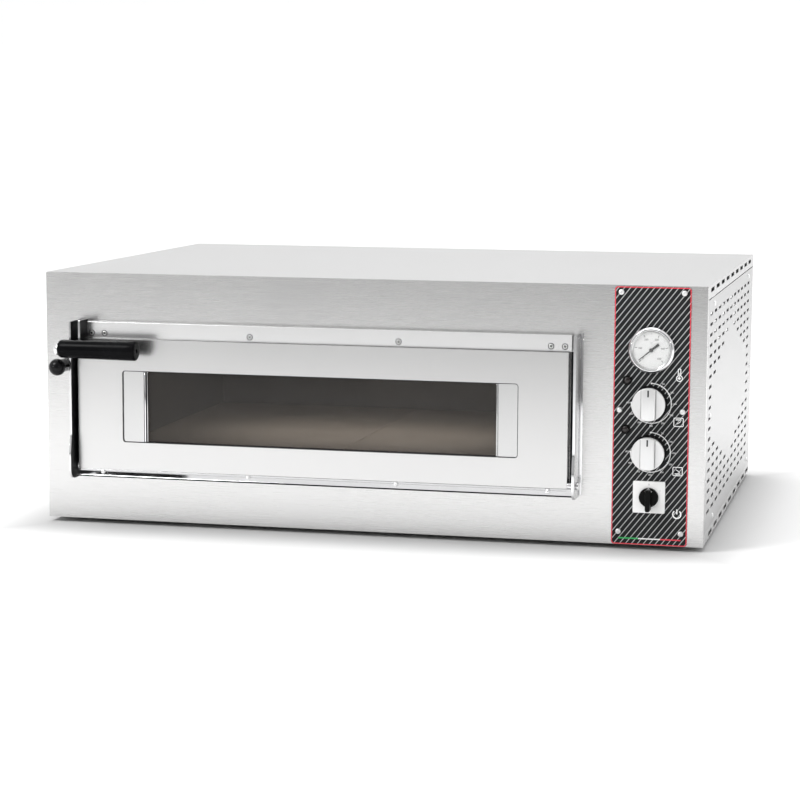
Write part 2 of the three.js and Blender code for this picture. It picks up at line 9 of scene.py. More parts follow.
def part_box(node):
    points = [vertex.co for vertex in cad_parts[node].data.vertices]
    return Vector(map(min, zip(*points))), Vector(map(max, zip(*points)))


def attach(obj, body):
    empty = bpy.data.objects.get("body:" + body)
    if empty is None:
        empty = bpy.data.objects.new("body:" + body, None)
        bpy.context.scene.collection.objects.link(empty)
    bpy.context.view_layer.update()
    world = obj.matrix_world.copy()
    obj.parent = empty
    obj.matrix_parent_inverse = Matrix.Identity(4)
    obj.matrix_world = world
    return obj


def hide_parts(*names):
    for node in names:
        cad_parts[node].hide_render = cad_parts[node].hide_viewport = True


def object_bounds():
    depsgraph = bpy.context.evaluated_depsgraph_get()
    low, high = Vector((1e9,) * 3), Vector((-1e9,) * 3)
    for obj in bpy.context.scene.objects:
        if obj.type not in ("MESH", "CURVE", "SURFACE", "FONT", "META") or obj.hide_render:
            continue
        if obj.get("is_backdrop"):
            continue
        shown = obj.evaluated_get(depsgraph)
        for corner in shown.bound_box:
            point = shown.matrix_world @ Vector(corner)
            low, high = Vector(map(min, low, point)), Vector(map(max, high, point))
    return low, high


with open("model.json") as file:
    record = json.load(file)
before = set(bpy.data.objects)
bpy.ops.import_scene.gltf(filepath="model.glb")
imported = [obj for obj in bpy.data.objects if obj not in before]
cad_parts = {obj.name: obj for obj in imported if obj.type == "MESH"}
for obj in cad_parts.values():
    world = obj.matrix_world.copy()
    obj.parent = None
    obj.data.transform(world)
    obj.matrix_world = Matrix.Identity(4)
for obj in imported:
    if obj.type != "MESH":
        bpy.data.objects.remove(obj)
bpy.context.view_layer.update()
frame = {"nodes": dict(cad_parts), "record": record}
NODES = frame["nodes"]
BODIES = frame["record"]["behaviour"]["bodies"]
BODY_OF = {n: b for b, ns in BODIES.items() for n in ns}
SLOT_OF = {s["node"]: s["material_slot"] for s in frame["record"]["subparts"]}

# The drawing frame: millimetres, x 0 in the middle, y 0 on the front face, z 0 on the underside of the case.
SY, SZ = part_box("front_panel")[0].y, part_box("front_panel")[0].z
TO_ROW = Matrix.Translation((0, SY, SZ)) @ Matrix.Scale(0.001, 4)
COL = bpy.context.scene.collection


# --------------------------------------------------------------- camera
def make_camera():
    cam = bpy.data.cameras.new("camera")
    cam.sensor_width = 36.0
    cam.lens = 104.58
    cam.clip_end = 100
    ob = bpy.data.objects.new("camera", cam)
    az, el, roll = math.radians(13.4838), math.radians(7.3573), math.radians(0.2674)
    back = Vector((math.sin(az) * math.cos(el), -math.cos(az) * math.cos(el), math.sin(el)))
    right = Vector((math.cos(az), math.sin(az), 0))
    up = back.cross(right)
    r = math.cos(roll) * right + math.sin(roll) * up
    u = -math.sin(roll) * right + math.cos(roll) * up
    m = Matrix((r, u, back)).transposed().to_4x4()
    m.translation = Vector((0.92558, -3.62155 + SY, 0.69934 + SZ))
    ob.matrix_world = m
    COL.objects.link(ob)
    bpy.context.scene.camera = ob
    return ob


CAM = make_camera()


# ------------------------------------------------------------ materials
class Mat:
    """A node material with a Principled shader and short ways to add texture nodes."""

    def __init__(self, name, color=(0.5, 0.5, 0.5), rough=0.5, metal=0.0, **kw):
        self.m = bpy.data.materials.new(name)
        self.m.use_nodes = True
        self.t = self.m.node_tree
        self.p = self.t.nodes["Principled BSDF"]
        self.p.inputs["Base Color"].default_value = (*color, 1)
        self.p.inputs["Roughness"].default_value = rough
        self.p.inputs["Metallic"].default_value = metal
        for k, v in kw.items():
            self.p.inputs[k.replace("_", " ")].default_value = v
        self._co = None

    def node(self, kind, **kw):
        n = self.t.nodes.new(kind)
        for k, v in kw.items():
            setattr(n, k, v)
        return n

    def link(self, a, b):
        self.t.links.new(a, b)

    def co(self):
        if self._co is None:
            self._co = self.node("ShaderNodeTexCoord").outputs["Object"]
        return self._co

    def mapped(self, scale, rot=(0, 0, 0), src=None):
        n = self.node("ShaderNodeMapping")
        n.inputs["Scale"].default_value = scale
        n.inputs["Rotation"].default_value = rot
        self.link(src or self.co(), n.inputs["Vector"])
        return n.outputs["Vector"]

    def noise(self, scale, detail=4, rough=0.5, vec=None, distort=0.0):
        n = self.node("ShaderNodeTexNoise")
        n.inputs["Scale"].default_value = scale
        n.inputs["Detail"].default_value = detail
        n.inputs["Roughness"].default_value = rough
        n.inputs["Distortion"].default_value = distort
        self.link(vec or self.co(), n.inputs["Vector"])
        return n.outputs["Fac"]

    def ramp(self, fac, stops):
        n = self.node("ShaderNodeValToRGB")
        e = n.color_ramp.elements
        while len(e) < len(stops):
            e.new(0.5)
        for el, (p, c) in zip(e, stops):
            el.position = p
            el.color = (*c, 1) if len(c) == 3 else c
        self.link(fac, n.inputs["Fac"])
        return n.outputs["Color"]

    def rng(self, fac, lo, hi, a=0.0, b=1.0):
        n = self.node("ShaderNodeMapRange")
        n.inputs["From Min"].default_value = a
        n.inputs["From Max"].default_value = b
        n.inputs["To Min"].default_value = lo
        n.inputs["To Max"].default_value = hi
        self.link(fac, n.inputs["Value"])
        return n.outputs["Result"]

    def math(self, op, a, b=None):
        n = self.node("ShaderNodeMath", operation=op)
        for i, v in enumerate((a, b)):
            if v is None:
                continue
            if isinstance(v, (int, float)):
                n.inputs[i].default_value = v
            else:
                self.link(v, n.inputs[i])
        return n.outputs[0]

    def mix(self, fac, a, b, mode="MIX"):
        n = self.node("ShaderNodeMix", data_type="RGBA", blend_type=mode)
        for key, v in (("Factor", fac), ("A", a), ("B", b)):
            s = [i for i in n.inputs if i.name == key and i.enabled][0]
            if isinstance(v, (int, float)):
                s.default_value = v
            elif isinstance(v, tuple):
                s.default_value = (*v, 1)
            else:
                self.link(v, s)
        return [o for o in n.outputs if o.enabled][0]

    def bump(self, height, strength, dist=0.001):
        n = self.node("ShaderNodeBump")
        n.inputs["Strength"].default_value = strength
        n.inputs["Distance"].default_value = dist
        self.link(height, n.inputs["Height"])
        prev = self.p.inputs["Normal"].links
        if prev:
            self.link(prev[0].from_socket, n.inputs["Normal"])
        self.link(n.outputs["Normal"], self.p.inputs["Normal"])

    def color(self, s):
        self.link(s, self.p.inputs["Base Color"])

    def rough(self, s):
        self.link(s, self.p.inputs["Roughness"])


def brushed(name, base, rough, along="X", metal=1.0, contrast=0.008, bump=0.001):
    """Rolled or ground sheet: very long, very fine streaks, and broad faint cloudiness."""
    m = Mat(name, base, rough, metal)
    long_, fine = 9, 1500
    sc = {"X": (long_, fine, fine), "Y": (fine, long_, fine), "Z": (fine, fine, long_)}[along]
    streak = m.noise(1.0, 3, 0.6, m.mapped(sc))
    sc2 = tuple(v * 0.22 for v in sc)
    streak2 = m.noise(1.0, 2, 0.5, m.mapped(sc2))
    fine_s = m.noise(1.0, 2, 0.5, m.mapped(tuple(v * 2.6 for v in sc)))
    cloud = m.noise(2.6, 3, 0.5)
    s = m.math("ADD", m.math("ADD", m.math("MULTIPLY", streak, 0.3), m.math("MULTIPLY", streak2, 0.1)), m.math("MULTIPLY", fine_s, 0.6))
    dark = tuple(c * (1 - contrast) for c in base)
    light = tuple(min(1, c * (1 + contrast)) for c in base)
    c = m.ramp(s, [(0.36, dark), (0.64, light)])
    c = m.mix(0.5, c, m.ramp(cloud, [(0.3, tuple(v * 0.985 for v in base)), (0.7, tuple(min(1, v * 1.015) for v in base))]))
    m.color(c)
    r = m.math("ADD", m.rng(s, rough - 0.015, rough + 0.015, 0.35, 0.65), m.rng(cloud, -0.01, 0.01, 0.3, 0.7))
    m.rough(r)
    m.bump(s, bump, 0.0002)
    return m.m


def polished(name, base=(0.80, 0.80, 0.81), rough=0.07):
    m = Mat(name, base, rough, 1.0)
    smear = m.noise(22, 4, 0.6, m.mapped((1, 3, 1)))
    fine = m.noise(1.0, 2, 0.5, m.mapped((60, 2200, 2200)))
    m.color(m.ramp(smear, [(0.3, tuple(v * 0.95 for v in base)), (0.7, base)]))
    m.rough(m.math("ADD", m.rng(smear, rough * 0.6, rough * 1.6, 0.3, 0.7), m.rng(fine, 0.0, 0.02, 0.4, 0.6)))
    m.bump(fine, 0.02, 0.0001)
    return m.m


def zinc(name, base=(0.42, 0.43, 0.44)):
    m = Mat(name, base, 0.45, 0.9)
    v = m.node("ShaderNodeTexVoronoi", feature="F1")
    v.inputs["Scale"].default_value = 110
    m.link(m.co(), v.inputs["Vector"])
    n = m.noise(60, 5, 0.6)
    m.color(m.mix(0.5, m.ramp(v.outputs["Color"], [(0.1, tuple(c * 0.82 for c in base)), (0.9, tuple(c * 1.12 for c in base))]),
                  m.ramp(n, [(0.3, tuple(c * 0.9 for c in base)), (0.7, tuple(c * 1.08 for c in base))])))
    m.rough(m.rng(n, 0.36, 0.58, 0.3, 0.7))
    m.bump(n, 0.05, 0.0003)
    return m.m


def liner_mat(name):
    base = (0.20, 0.185, 0.17)
    m = Mat(name, base, 0.55, 0.85)
    n = m.noise(9, 6, 0.62)
    f = m.noise(1.0, 3, 0.6, m.mapped((8, 900, 900)))
    c = m.ramp(n, [(0.25, (0.10, 0.085, 0.07)), (0.55, base), (0.8, (0.27, 0.25, 0.235))])
    m.color(m.mix(0.25, c, m.ramp(f, [(0.4, (0.14, 0.13, 0.12)), (0.6, (0.24, 0.23, 0.22))])))
    m.rough(m.rng(n, 0.42, 0.7, 0.3, 0.7))
    m.bump(f, 0.05, 0.0003)
    return m.m


def stone_mat(name):
    m = Mat(name, (0.36, 0.29, 0.22), 0.92, 0.0)
    big = m.noise(7, 5, 0.6)
    grit = m.noise(420, 4, 0.7)
    pits = m.node("ShaderNodeTexVoronoi", feature="F1")
    pits.inputs["Scale"].default_value = 190
    m.link(m.co(), pits.inputs["Vector"])
    pit = m.rng(pits.outputs["Distance"], 0, 1, 0.05, 0.22)
    c = m.ramp(big, [(0.25, (0.25, 0.20, 0.155)), (0.5, (0.37, 0.30, 0.235)), (0.78, (0.46, 0.39, 0.31))])
    c = m.mix(0.35, c, m.ramp(grit, [(0.35, (0.20, 0.16, 0.12)), (0.65, (0.52, 0.45, 0.37))]))
    m.color(c)
    m.rough(m.rng(grit, 0.85, 0.98))
    m.bump(pit, 0.35, 0.0008)
    m.bump(grit, 0.3, 0.0004)
    return m.m


def wool_mat(name):
    m = Mat(name, (0.62, 0.57, 0.45), 1.0, 0.0)
    f = m.noise(1.0, 6, 0.7, m.mapped((400, 120, 260)), 1.5)
    b = m.noise(14, 4, 0.6)
    m.color(m.mix(0.4, m.ramp(f, [(0.3, (0.42, 0.38, 0.28)), (0.7, (0.74, 0.69, 0.56))]), m.ramp(b, [(0.3, (0.5, 0.45, 0.35)), (0.7, (0.68, 0.63, 0.5))])))
    m.rough(m.rng(f, 0.9, 1.0))
    m.bump(f, 0.8, 0.002)
    return m.m


def element_mat(name):
    m = Mat(name, (0.09, 0.08, 0.075), 0.55, 0.8)
    n = m.noise(40, 5, 0.6)
    m.color(m.ramp(n, [(0.3, (0.05, 0.045, 0.042)), (0.6, (0.11, 0.10, 0.09)), (0.85, (0.17, 0.14, 0.11))]))
    m.rough(m.rng(n, 0.4, 0.7, 0.3, 0.7))
    m.bump(m.noise(900, 3), 0.15, 0.0002)
    return m.m


def rubber_mat(name):
    m = Mat(name, (0.03, 0.03, 0.03), 0.75, 0.0)
    n = m.noise(300, 4, 0.6)
    m.color(m.ramp(n, [(0.3, (0.018, 0.018, 0.018)), (0.7, (0.05, 0.05, 0.05))]))
    m.rough(m.rng(n, 0.65, 0.9, 0.3, 0.7))
    m.bump(n, 0.25, 0.0003)
    return m.m


def bakelite(name, tint=(0.010, 0.010, 0.011), rough=0.22, spec=0.07):
    m = Mat(name, tint, rough, 0.0)
    n = m.noise(35, 5, 0.6)
    f = m.noise(700, 3, 0.5)
    m.color(m.ramp(n, [(0.3, tuple(v * 0.7 for v in tint)), (0.7, tuple(v * 1.6 for v in tint))]))
    m.rough(m.math("ADD", m.rng(n, rough - 0.05, rough + 0.09, 0.3, 0.7), m.rng(f, -0.02, 0.03, 0.3, 0.7)))
    m.bump(f, 0.05, 0.0001)
    m.p.inputs["Specular IOR Level"].default_value = spec
    return m.m


def plastic(name, base, rough=0.45, grain=260, bump=0.12, spec=0.5):
    m = Mat(name, base, rough, 0.0)
    n = m.noise(grain, 4, 0.6)
    b = m.noise(12, 3, 0.5)
    m.color(m.mix(0.5, m.ramp(n, [(0.3, tuple(v * 0.93 for v in base)), (0.7, tuple(min(1, v * 1.05) for v in base))]),
                  m.ramp(b, [(0.3, tuple(v * 0.96 for v in base)), (0.7, tuple(min(1, v * 1.03) for v in base))])))
    m.rough(m.rng(n, rough - 0.06, rough + 0.08, 0.3, 0.7))
    m.bump(n, bump, 0.0001)
    m.p.inputs["Specular IOR Level"].default_value = spec
    return m.m


def overlay_mat(name):
    """Charcoal film with a fine woven look and thin pale diagonal lines."""
    m = Mat(name, (0.042, 0.044, 0.045), 0.42, 0.0)
    co = m.co()
    ang = math.radians(52)
    pitch = 0.00735

    def across(vec, scale):
        d = m.node("ShaderNodeVectorMath", operation="DOT_PRODUCT")
        m.link(co, d.inputs[0])
        d.inputs[1].default_value = tuple(v * scale for v in vec)
        return d.outputs["Value"]

    u = across((math.sin(ang), 0, -math.cos(ang)), 1 / pitch)
    f = m.math("PINGPONG", u, 0.5)
    line = m.rng(f, 1, 0, 0.066, 0.088)
    # two sets of fine threads make the weave
    a = m.math("PINGPONG", across((1, 0, 1), 1 / 0.0011), 0.5)
    b = m.math("PINGPONG", across((1, 0, -1), 1 / 0.0011), 0.5)
    weave = m.math("MULTIPLY", a, b)
    n = m.noise(30, 4, 0.6)
    base = m.mix(0.4, m.ramp(weave, [(0.0, (0.010, 0.011, 0.0115)), (0.22, (0.026, 0.028, 0.029))]),
                 m.ramp(n, [(0.3, (0.016, 0.0175, 0.018)), (0.7, (0.023, 0.0245, 0.025))]))
    m.color(m.mix(line, base, (0.54, 0.54, 0.54)))
    m.p.inputs["Specular IOR Level"].default_value = 0.1
    m.rough(m.rng(weave, 0.36, 0.5, 0.0, 0.25))
    m.bump(weave, 0.1, 0.0001)
    return m.m


def print_mat(name, base, rough=0.5):
    m = Mat(name, base, rough, 0.0)
    n = m.noise(500, 3, 0.6)
    m.color(m.ramp(n, [(0.3, tuple(v * 0.9 for v in base)), (0.7, base)]))
    m.rough(m.rng(n, rough - 0.05, rough + 0.1, 0.3, 0.7))
    return m.m


def tinted_glass(name):
    m = Mat(name, (0.035, 0.032, 0.030), 0.03, 0.0)
    m.p.inputs["Specular IOR Level"].default_value = 0.3
    m.p.inputs["Alpha"].default_value = 0.42
    n = m.noise(6, 4, 0.6)
    m.rough(m.rng(n, 0.02, 0.07, 0.3, 0.7))
    m.color(m.ramp(n, [(0.3, (0.030, 0.027, 0.025)), (0.7, (0.042, 0.038, 0.035))]))
    return m.m


def clear_glass(name):
    m = Mat(name, (0.9, 0.93, 0.92), 0.02, 0.0)
    m.p.inputs["Alpha"].default_value = 0.04
    m.p.inputs["Specular IOR Level"].default_value = 0.25
    n = m.noise(20, 3, 0.6)
    m.rough(m.rng(n, 0.015, 0.05, 0.3, 0.7))
    return m.m


def knob_cap_mat(name, spin=False):
    base = (0.73, 0.73, 0.73)
    m = Mat(name, base, 0.3, 0.6)
    s = m.noise(1.0, 3, 0.6, m.mapped((1900, 1900, 45)))
    m.color(m.ramp(s, [(0.35, tuple(v * 0.975 for v in base)), (0.65, tuple(v * 1.02 for v in base))]))
    m.rough(m.rng(s, 0.30, 0.36, 0.3, 0.7))
    m.bump(s, 0.015, 0.0001)
    return m.m


M = {
    "front": brushed("brushed_front", (0.665, 0.662, 0.66), 0.27, "X"),
    "case": brushed("brushed_case", (0.62, 0.62, 0.62), 0.34, "Y"),
    # side panels: the case steel painted darker (0.53 against 0.62), painted shade to offset the side lamp
    "side": brushed("brushed_side", (0.53, 0.53, 0.53), 0.34, "Y"),
    "door": brushed("brushed_door", (0.625, 0.623, 0.622), 0.25, "X"),
    "strip": brushed("brushed_strip", (0.86, 0.86, 0.86), 0.24, "X"),
    "retainer": brushed("satin_retainer", (0.60, 0.60, 0.60), 0.24, "Z"),
    "rear": brushed("brushed_rear", (0.68, 0.68, 0.68), 0.38, "X"),
    "polished": polished("polished_steel"),
    # near-black stand-in for shade on polished faces turned to +X, in the gaps beside the door, under the lip and in
    # the retainer folds: painted shade
    "painted_shade_black": bakelite("painted_shade_black", (0.004, 0.004, 0.0045), 0.3),
    "zinc": zinc("zinc_plate"),
    "liner": liner_mat("aluminised_liner"),
    "stone": stone_mat("refractory_clay"),
    "wool": wool_mat("mineral_wool"),
    # zinc plate made near-black for the parts inside the case: painted shade, so the vent slots read dark
    "inner_painted_shade_zinc": zinc("zinc_inner_painted_shade", (0.09, 0.09, 0.092)),
    "element": element_mat("element_sheath"),
    "rubber": rubber_mat("foot_rubber"),
    "overlay": overlay_mat("control_overlay"),
    "bakelite": bakelite("black_phenolic", (0.004, 0.004, 0.0045), 0.12),
    "grip": bakelite("black_phenolic_grip", (0.003, 0.003, 0.0035), 0.2, 0.045),
    "ball": bakelite("black_phenolic_ball", (0.004, 0.004, 0.0045), 0.07, 0.16),
    "switch_black": bakelite("switch_black", (0.004, 0.004, 0.004), 0.3),
    "white": plastic("white_plastic", (0.93, 0.93, 0.925), 0.38, 900, 0.02),
    "dial": plastic("dial_white", (0.76, 0.76, 0.755), 0.5, 3000, 0.0),
    "dial_rim": polished("dial_rim", (0.62, 0.62, 0.62), 0.28),
    "terminal": plastic("terminal_plastic", (0.72, 0.70, 0.62), 0.5),
    "nylon": plastic("gland_nylon", (0.03, 0.03, 0.03), 0.5),
    "cap": knob_cap_mat("knob_cap"),
    "needle": print_mat("needle_black", (0.012, 0.012, 0.012), 0.4),
    "glass": tinted_glass("tinted_glass"),
    "clear": clear_glass("clear_glass"),
    "lamp": plastic("lamp_lens", (0.012, 0.008, 0.008), 0.08, 120, 0.02),
    "ink_white": print_mat("ink_white", (0.95, 0.95, 0.95)),
    "ink_red": print_mat("ink_red", (0.86, 0.05, 0.085)),
    "ink_green": print_mat("ink_green", (0.03, 0.50, 0.12)),
    "ink_black": print_mat("ink_black", (0.02, 0.02, 0.02)),
    "ink_grey": print_mat("ink_grey", (0.30, 0.30, 0.30)),
    "screw": polished("screw_steel", (0.92, 0.92, 0.92), 0.4),
    # near-black for the window cut edge, the right retainer groove and the strip screws' rings and crosses: painted
    # shade in gaps and recesses
    "recess": print_mat("painted_recess_shade", (0.022, 0.022, 0.022), 0.6),
}


# ----------------------------------------------------------- mesh helpers
def finish_piece(name, bm, mat, body, nodes=(), slot=None, sharp=32, to_row=True, recalc=True, flat=False, side_mat=None):
    if to_row:
        bm.transform(TO_ROW)
    bmesh.ops.remove_doubles(bm, verts=bm.verts, dist=2e-7)
    if recalc:
        bmesh.ops.recalc_face_normals(bm, faces=bm.faces)
    me = bpy.data.meshes.new(name)
    for f in bm.faces:
        f.smooth = True
    bm.to_mesh(me)
    bm.free()
    me.set_sharp_from_angle(angle=math.radians(sharp))
    me.materials.append(M[mat])
    # faces turned to +X take side_mat; where that is the near-black material, it is painted shade on those faces
    if side_mat:
        me.materials.append(M[side_mat])
        for p in me.polygons:
            if p.normal.x > 0.8:
                p.material_index = 1
    ob = bpy.data.objects.new(name, me)
    COL.objects.link(ob)
    if flat:
        wn = ob.modifiers.new("flat_faces", "WEIGHTED_NORMAL")
        wn.keep_sharp = True
        wn.weight = 100
    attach(ob, body)
    if nodes:
        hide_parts(*nodes)
        slot = slot or SLOT_OF[nodes[0]]
    return ob


def refine(node, mat, bevel=0.35, segs=2, ang=28, sharp=32, side_mat=None):
    """The CAD solid with its coplanar facets joined and its edges broken by a small round."""
    bm = bmesh.new()
    bm.from_mesh(NODES[node].data)
    bmesh.ops.remove_doubles(bm, verts=bm.verts, dist=1e-6)
    bmesh.ops.dissolve_limit(bm, angle_limit=math.radians(0.6), verts=bm.verts, edges=bm.edges, use_dissolve_boundaries=False)
    if bevel:
        edges = [e for e in bm.edges if len(e.link_faces) == 2 and e.calc_face_angle(0) > math.radians(ang)]
        bmesh.ops.bevel(bm, geom=edges, offset=bevel / 1000, offset_type="OFFSET", segments=segs, profile=0.5, affect="EDGES", clamp_overlap=True)
    return finish_piece(node + "_finished", bm, mat, BODY_OF[node], [node], sharp=sharp, to_row=False, flat=True, side_mat=side_mat)


def lathe(bm, prof, axis, c, seg=64):
    """prof is (position along the axis, radius) in mm from one end to the other."""
    closed = len(prof) > 3 and abs(prof[0][0] - prof[-1][0]) < 1e-6 and abs(prof[0][1] - prof[-1][1]) < 1e-6
    if closed:
        prof = prof[:-1]
    rings = []
    for t, r in prof:
        ring = []
        for i in range(seg if r > 1e-6 else 1):
            a = 2 * math.pi * i / seg
            u, v = r * math.cos(a), r * math.sin(a)
            p = {"X": (t, c[0] + u, c[1] + v), "Y": (c[0] + u, t, c[1] + v), "Z": (c[0] + u, c[1] + v, t)}[axis]
            ring.append(bm.verts.new(p))
        rings.append(ring)
    for a, b in zip(rings, rings[1:] + (rings[:1] if closed else [])):
        if len(a) == 1 and len(b) == 1:
            continue
        for i in range(seg):
            j = (i + 1) % seg
            if len(a) == 1:
                bm.faces.new((a[0], b[j], b[i]))
            elif len(b) == 1:
                bm.faces.new((a[i], a[j], b[0]))
            else:
                bm.faces.new((a[i], a[j], b[j], b[i]))
    for ring in (rings[0], rings[-1]):
        if len(ring) > 1 and not closed:
            bm.faces.new(ring)


def fillet(pts, radii, n=4):
    """Rounds the corners of an open run of 2D points."""
    out = [pts[0]]
    for i in range(1, len(pts) - 1):
        r = radii[i] if isinstance(radii, (list, tuple)) else radii
        p0, p1, p2 = (Vector(pts[i - 1]), Vector(pts[i]), Vector(pts[i + 1]))
        a, b = (p0 - p1), (p2 - p1)
        la, lb = a.length, b.length
        if r <= 0 or la < 1e-6 or lb < 1e-6:
            out.append(pts[i])
            continue
        a.normalize(), b.normalize()
        ang = a.angle(b)
        if ang > math.pi - 0.05:
            out.append(pts[i])
            continue
        d = min(r / math.tan(ang / 2), la * 0.49, lb * 0.49)
        rr = d * math.tan(ang / 2)
        s, e = p1 + a * d, p1 + b * d
        cen = p1 + (a + b).normalized() * (rr / math.sin(ang / 2))
        va, ve = s - cen, e - cen
        full = va.angle(ve) if va.length > 1e-9 and ve.length > 1e-9 else 0
        sign = 1 if va.x * ve.y - va.y * ve.x > 0 else -1
        for k in range(n + 1):
            t = sign * full * k / n
            out.append((cen.x + va.x * math.cos(t) - va.y * math.sin(t), cen.y + va.x * math.sin(t) + va.y * math.cos(t)))
    out.append(pts[-1])
    return out


def turned(name, mat, body, prof, axis, c, nodes=(), seg=64, sharp=30, slot=None):
    bm = bmesh.new()
    lathe(bm, prof, axis, c, seg)
    return finish_piece(name, bm, mat, body, nodes, slot, sharp)


def rrect(x0, x1, z0, z1, r, n=6):
    out = []
    for cx, cz, a0 in ((x1 - r, z0 + r, -90), (x1 - r, z1 - r, 0), (x0 + r, z1 - r, 90), (x0 + r, z0 + r, 180)):
        for i in range(n + 1):
            a = math.radians(a0 + 90 * i / n)
            out.append((cx + r * math.cos(a), cz + r * math.sin(a)))
    return out


def stadium(cx, cz, length, height, n=6):
    r = height / 2
    out = []
    for ox, a0 in ((length / 2 - r, -90), (-(length / 2 - r), 90)):
        for i in range(n + 1):
            a = math.radians(a0 + 180 * i / n)
            out.append((cx + ox + r * math.cos(a), cz + r * math.sin(a)))
    return out


def circle(cx, cz, r, n=40):
    return [(cx + r * math.cos(2 * math.pi * i / n), cz + r * math.sin(2 * math.pi * i / n)) for i in range(n)]


def plate_bm(bm, outer, holes, plane, a, b):
    """A flat plate: outline and holes in one plane, thickness from a to b. plane XZ (thickness in Y) or YZ (thickness in X) or XY."""

    def at(p, t):
        return {"XZ": (p[0], t, p[1]), "YZ": (t, p[0], p[1]), "XY": (p[0], p[1], t)}[plane]

    edges = []
    for loop in [outer, *holes]:
        vs = [bm.verts.new(at(p, a)) for p in loop]
        for i, v in enumerate(vs):
            edges.append(bm.edges.new((v, vs[(i + 1) % len(vs)])))
    got = bmesh.ops.triangle_fill(bm, use_beauty=True, use_dissolve=False, edges=edges)
    faces = [g for g in got["geom"] if isinstance(g, bmesh.types.BMFace)]
    ext = bmesh.ops.extrude_face_region(bm, geom=faces)
    d = Vector(at((0, 0), b)) - Vector(at((0, 0), a))
    for g in ext["geom"]:
        if isinstance(g, bmesh.types.BMVert):
            g.co += d


def plate(name, mat, body, outer, holes, plane, a, b, nodes=(), slot=None, bevel=0.0, segs=2, sharp=32, side_mat=None):
    bm = bmesh.new()
    plate_bm(bm, outer, holes, plane, a, b)
    bmesh.ops.recalc_face_normals(bm, faces=bm.faces)
    if bevel:
        bmesh.ops.dissolve_limit(bm, angle_limit=math.radians(0.4), verts=bm.verts, edges=bm.edges, use_dissolve_boundaries=False)
        edges = [e for e in bm.edges if len(e.link_faces) == 2 and e.calc_face_angle(0) > math.radians(40)]
        bmesh.ops.bevel(bm, geom=edges, offset=bevel, offset_type="OFFSET", segments=segs, profile=0.5, affect="EDGES", clamp_overlap=True)
    return finish_piece(name, bm, mat, body, nodes, slot, sharp, flat=True, side_mat=side_mat)


def block_bm(bm, lo, hi, bevel=0.5, segs=2):
    b2 = bmesh.new()
    bmesh.ops.create_cube(b2, size=1)
    for v in b2.verts:
        v.co = Vector((lo[i] + (hi[i] - lo[i]) * (v.co[i] + 0.5) for i in range(3)))
    if bevel:
        bmesh.ops.bevel(b2, geom=b2.edges[:], offset=bevel, segments=segs, profile=0.5, affect="EDGES", clamp_overlap=True)
    join_bm(bm, b2)


def join_bm(bm, other, mat=None):
    me = bpy.data.meshes.new("tmp")
    if mat is not None:
        other.transform(mat)
    other.to_mesh(me)
    other.free()
    bm.from_mesh(me)
    bpy.data.meshes.remove(me)


def ribbon_bm(bm, pts, width, y0, y1, closed=False):
    """A printed stroke of one width along a run of (x, z) points, raised from y1 to y0."""
    n = len(pts)
    left, right = [], []
    for i in range(n):
        p = Vector(pts[i])
        a = Vector(pts[i - 1]) if (i > 0 or closed) else None
        b = Vector(pts[(i + 1) % n]) if (i < n - 1 or closed) else None
        d1 = (p - a).normalized() if a is not None else None
        d2 = (b - p).normalized() if b is not None else None
        d = (d1 + d2).normalized() if (d1 is not None and d2 is not None and (d1 + d2).length > 1e-6) else (d1 if d1 is not None else d2)
        nrm = Vector((-d.y, d.x))
        k = 1.0
        if d1 is not None and d2 is not None:
            k = 1 / max(0.5, abs(nrm.dot(Vector((-d1.y, d1.x)))))
        left.append(p + nrm * width / 2 * k)
        right.append(p - nrm * width / 2 * k)
    fr = [[bm.verts.new((q.x, y, q.y)) for q in side] for y in (y0, y1) for side in (left, right)]
    lf, rf, lb, rb = fr
    m = n if closed else n - 1
    for i in range(m):
        j = (i + 1) % n
        bm.faces.new((lf[i], lf[j], rf[j], rf[i]))
        bm.faces.new((rb[i], rb[j], lb[j], lb[i]))
        bm.faces.new((lb[i], lb[j], lf[j], lf[i]))
        bm.faces.new((rf[i], rf[j], rb[j], rb[i]))
    if not closed:
        bm.faces.new((lf[0], rf[0], rb[0], lb[0]))
        bm.faces.new((rf[-1], lf[-1], lb[-1], rb[-1]))


def dot_bm(bm, x, z, r, y0, y1, n=16):
    plate_bm(bm, circle(x, z, r, n), [], "XZ", y1, y0)


def arc_pts(cx, cz, r, a0, a1, n):
    return [(cx + r * math.cos(math.radians(a0 + (a1 - a0) * i / n)), cz + r * math.sin(math.radians(a0 + (a1 - a0) * i / n))) for i in range(n + 1)]


def text_bm(bm, body, size, x, z, y0, y1):
    """Plain figures standing up in the XZ plane, facing -Y, centred on (x, z)."""
    cu = bpy.data.curves.new("figures", "FONT")
    cu.body = body
    cu.size = size
    cu.align_x, cu.align_y = "CENTER", "CENTER"
    cu.extrude = (y1 - y0) / 2
    cu.resolution_u = 3
    ob = bpy.data.objects.new("figures", cu)
    COL.objects.link(ob)
    bpy.context.view_layer.update()
    dg = bpy.context.evaluated_depsgraph_get()
    me = bpy.data.meshes.new_from_object(ob.evaluated_get(dg))
    b2 = bmesh.new()
    b2.from_mesh(me)
    bpy.data.objects.remove(ob)
    bpy.data.curves.remove(cu)
    bpy.data.meshes.remove(me)
    bmesh.ops.remove_doubles(b2, verts=b2.verts, dist=1e-4)
    # text lies in XY facing +Z: turn it so that it faces -Y
    m = Matrix.Translation((x, (y0 + y1) / 2, z)) @ Matrix.Rotation(math.radians(90), 4, "X")
    join_bm(bm, b2, m)


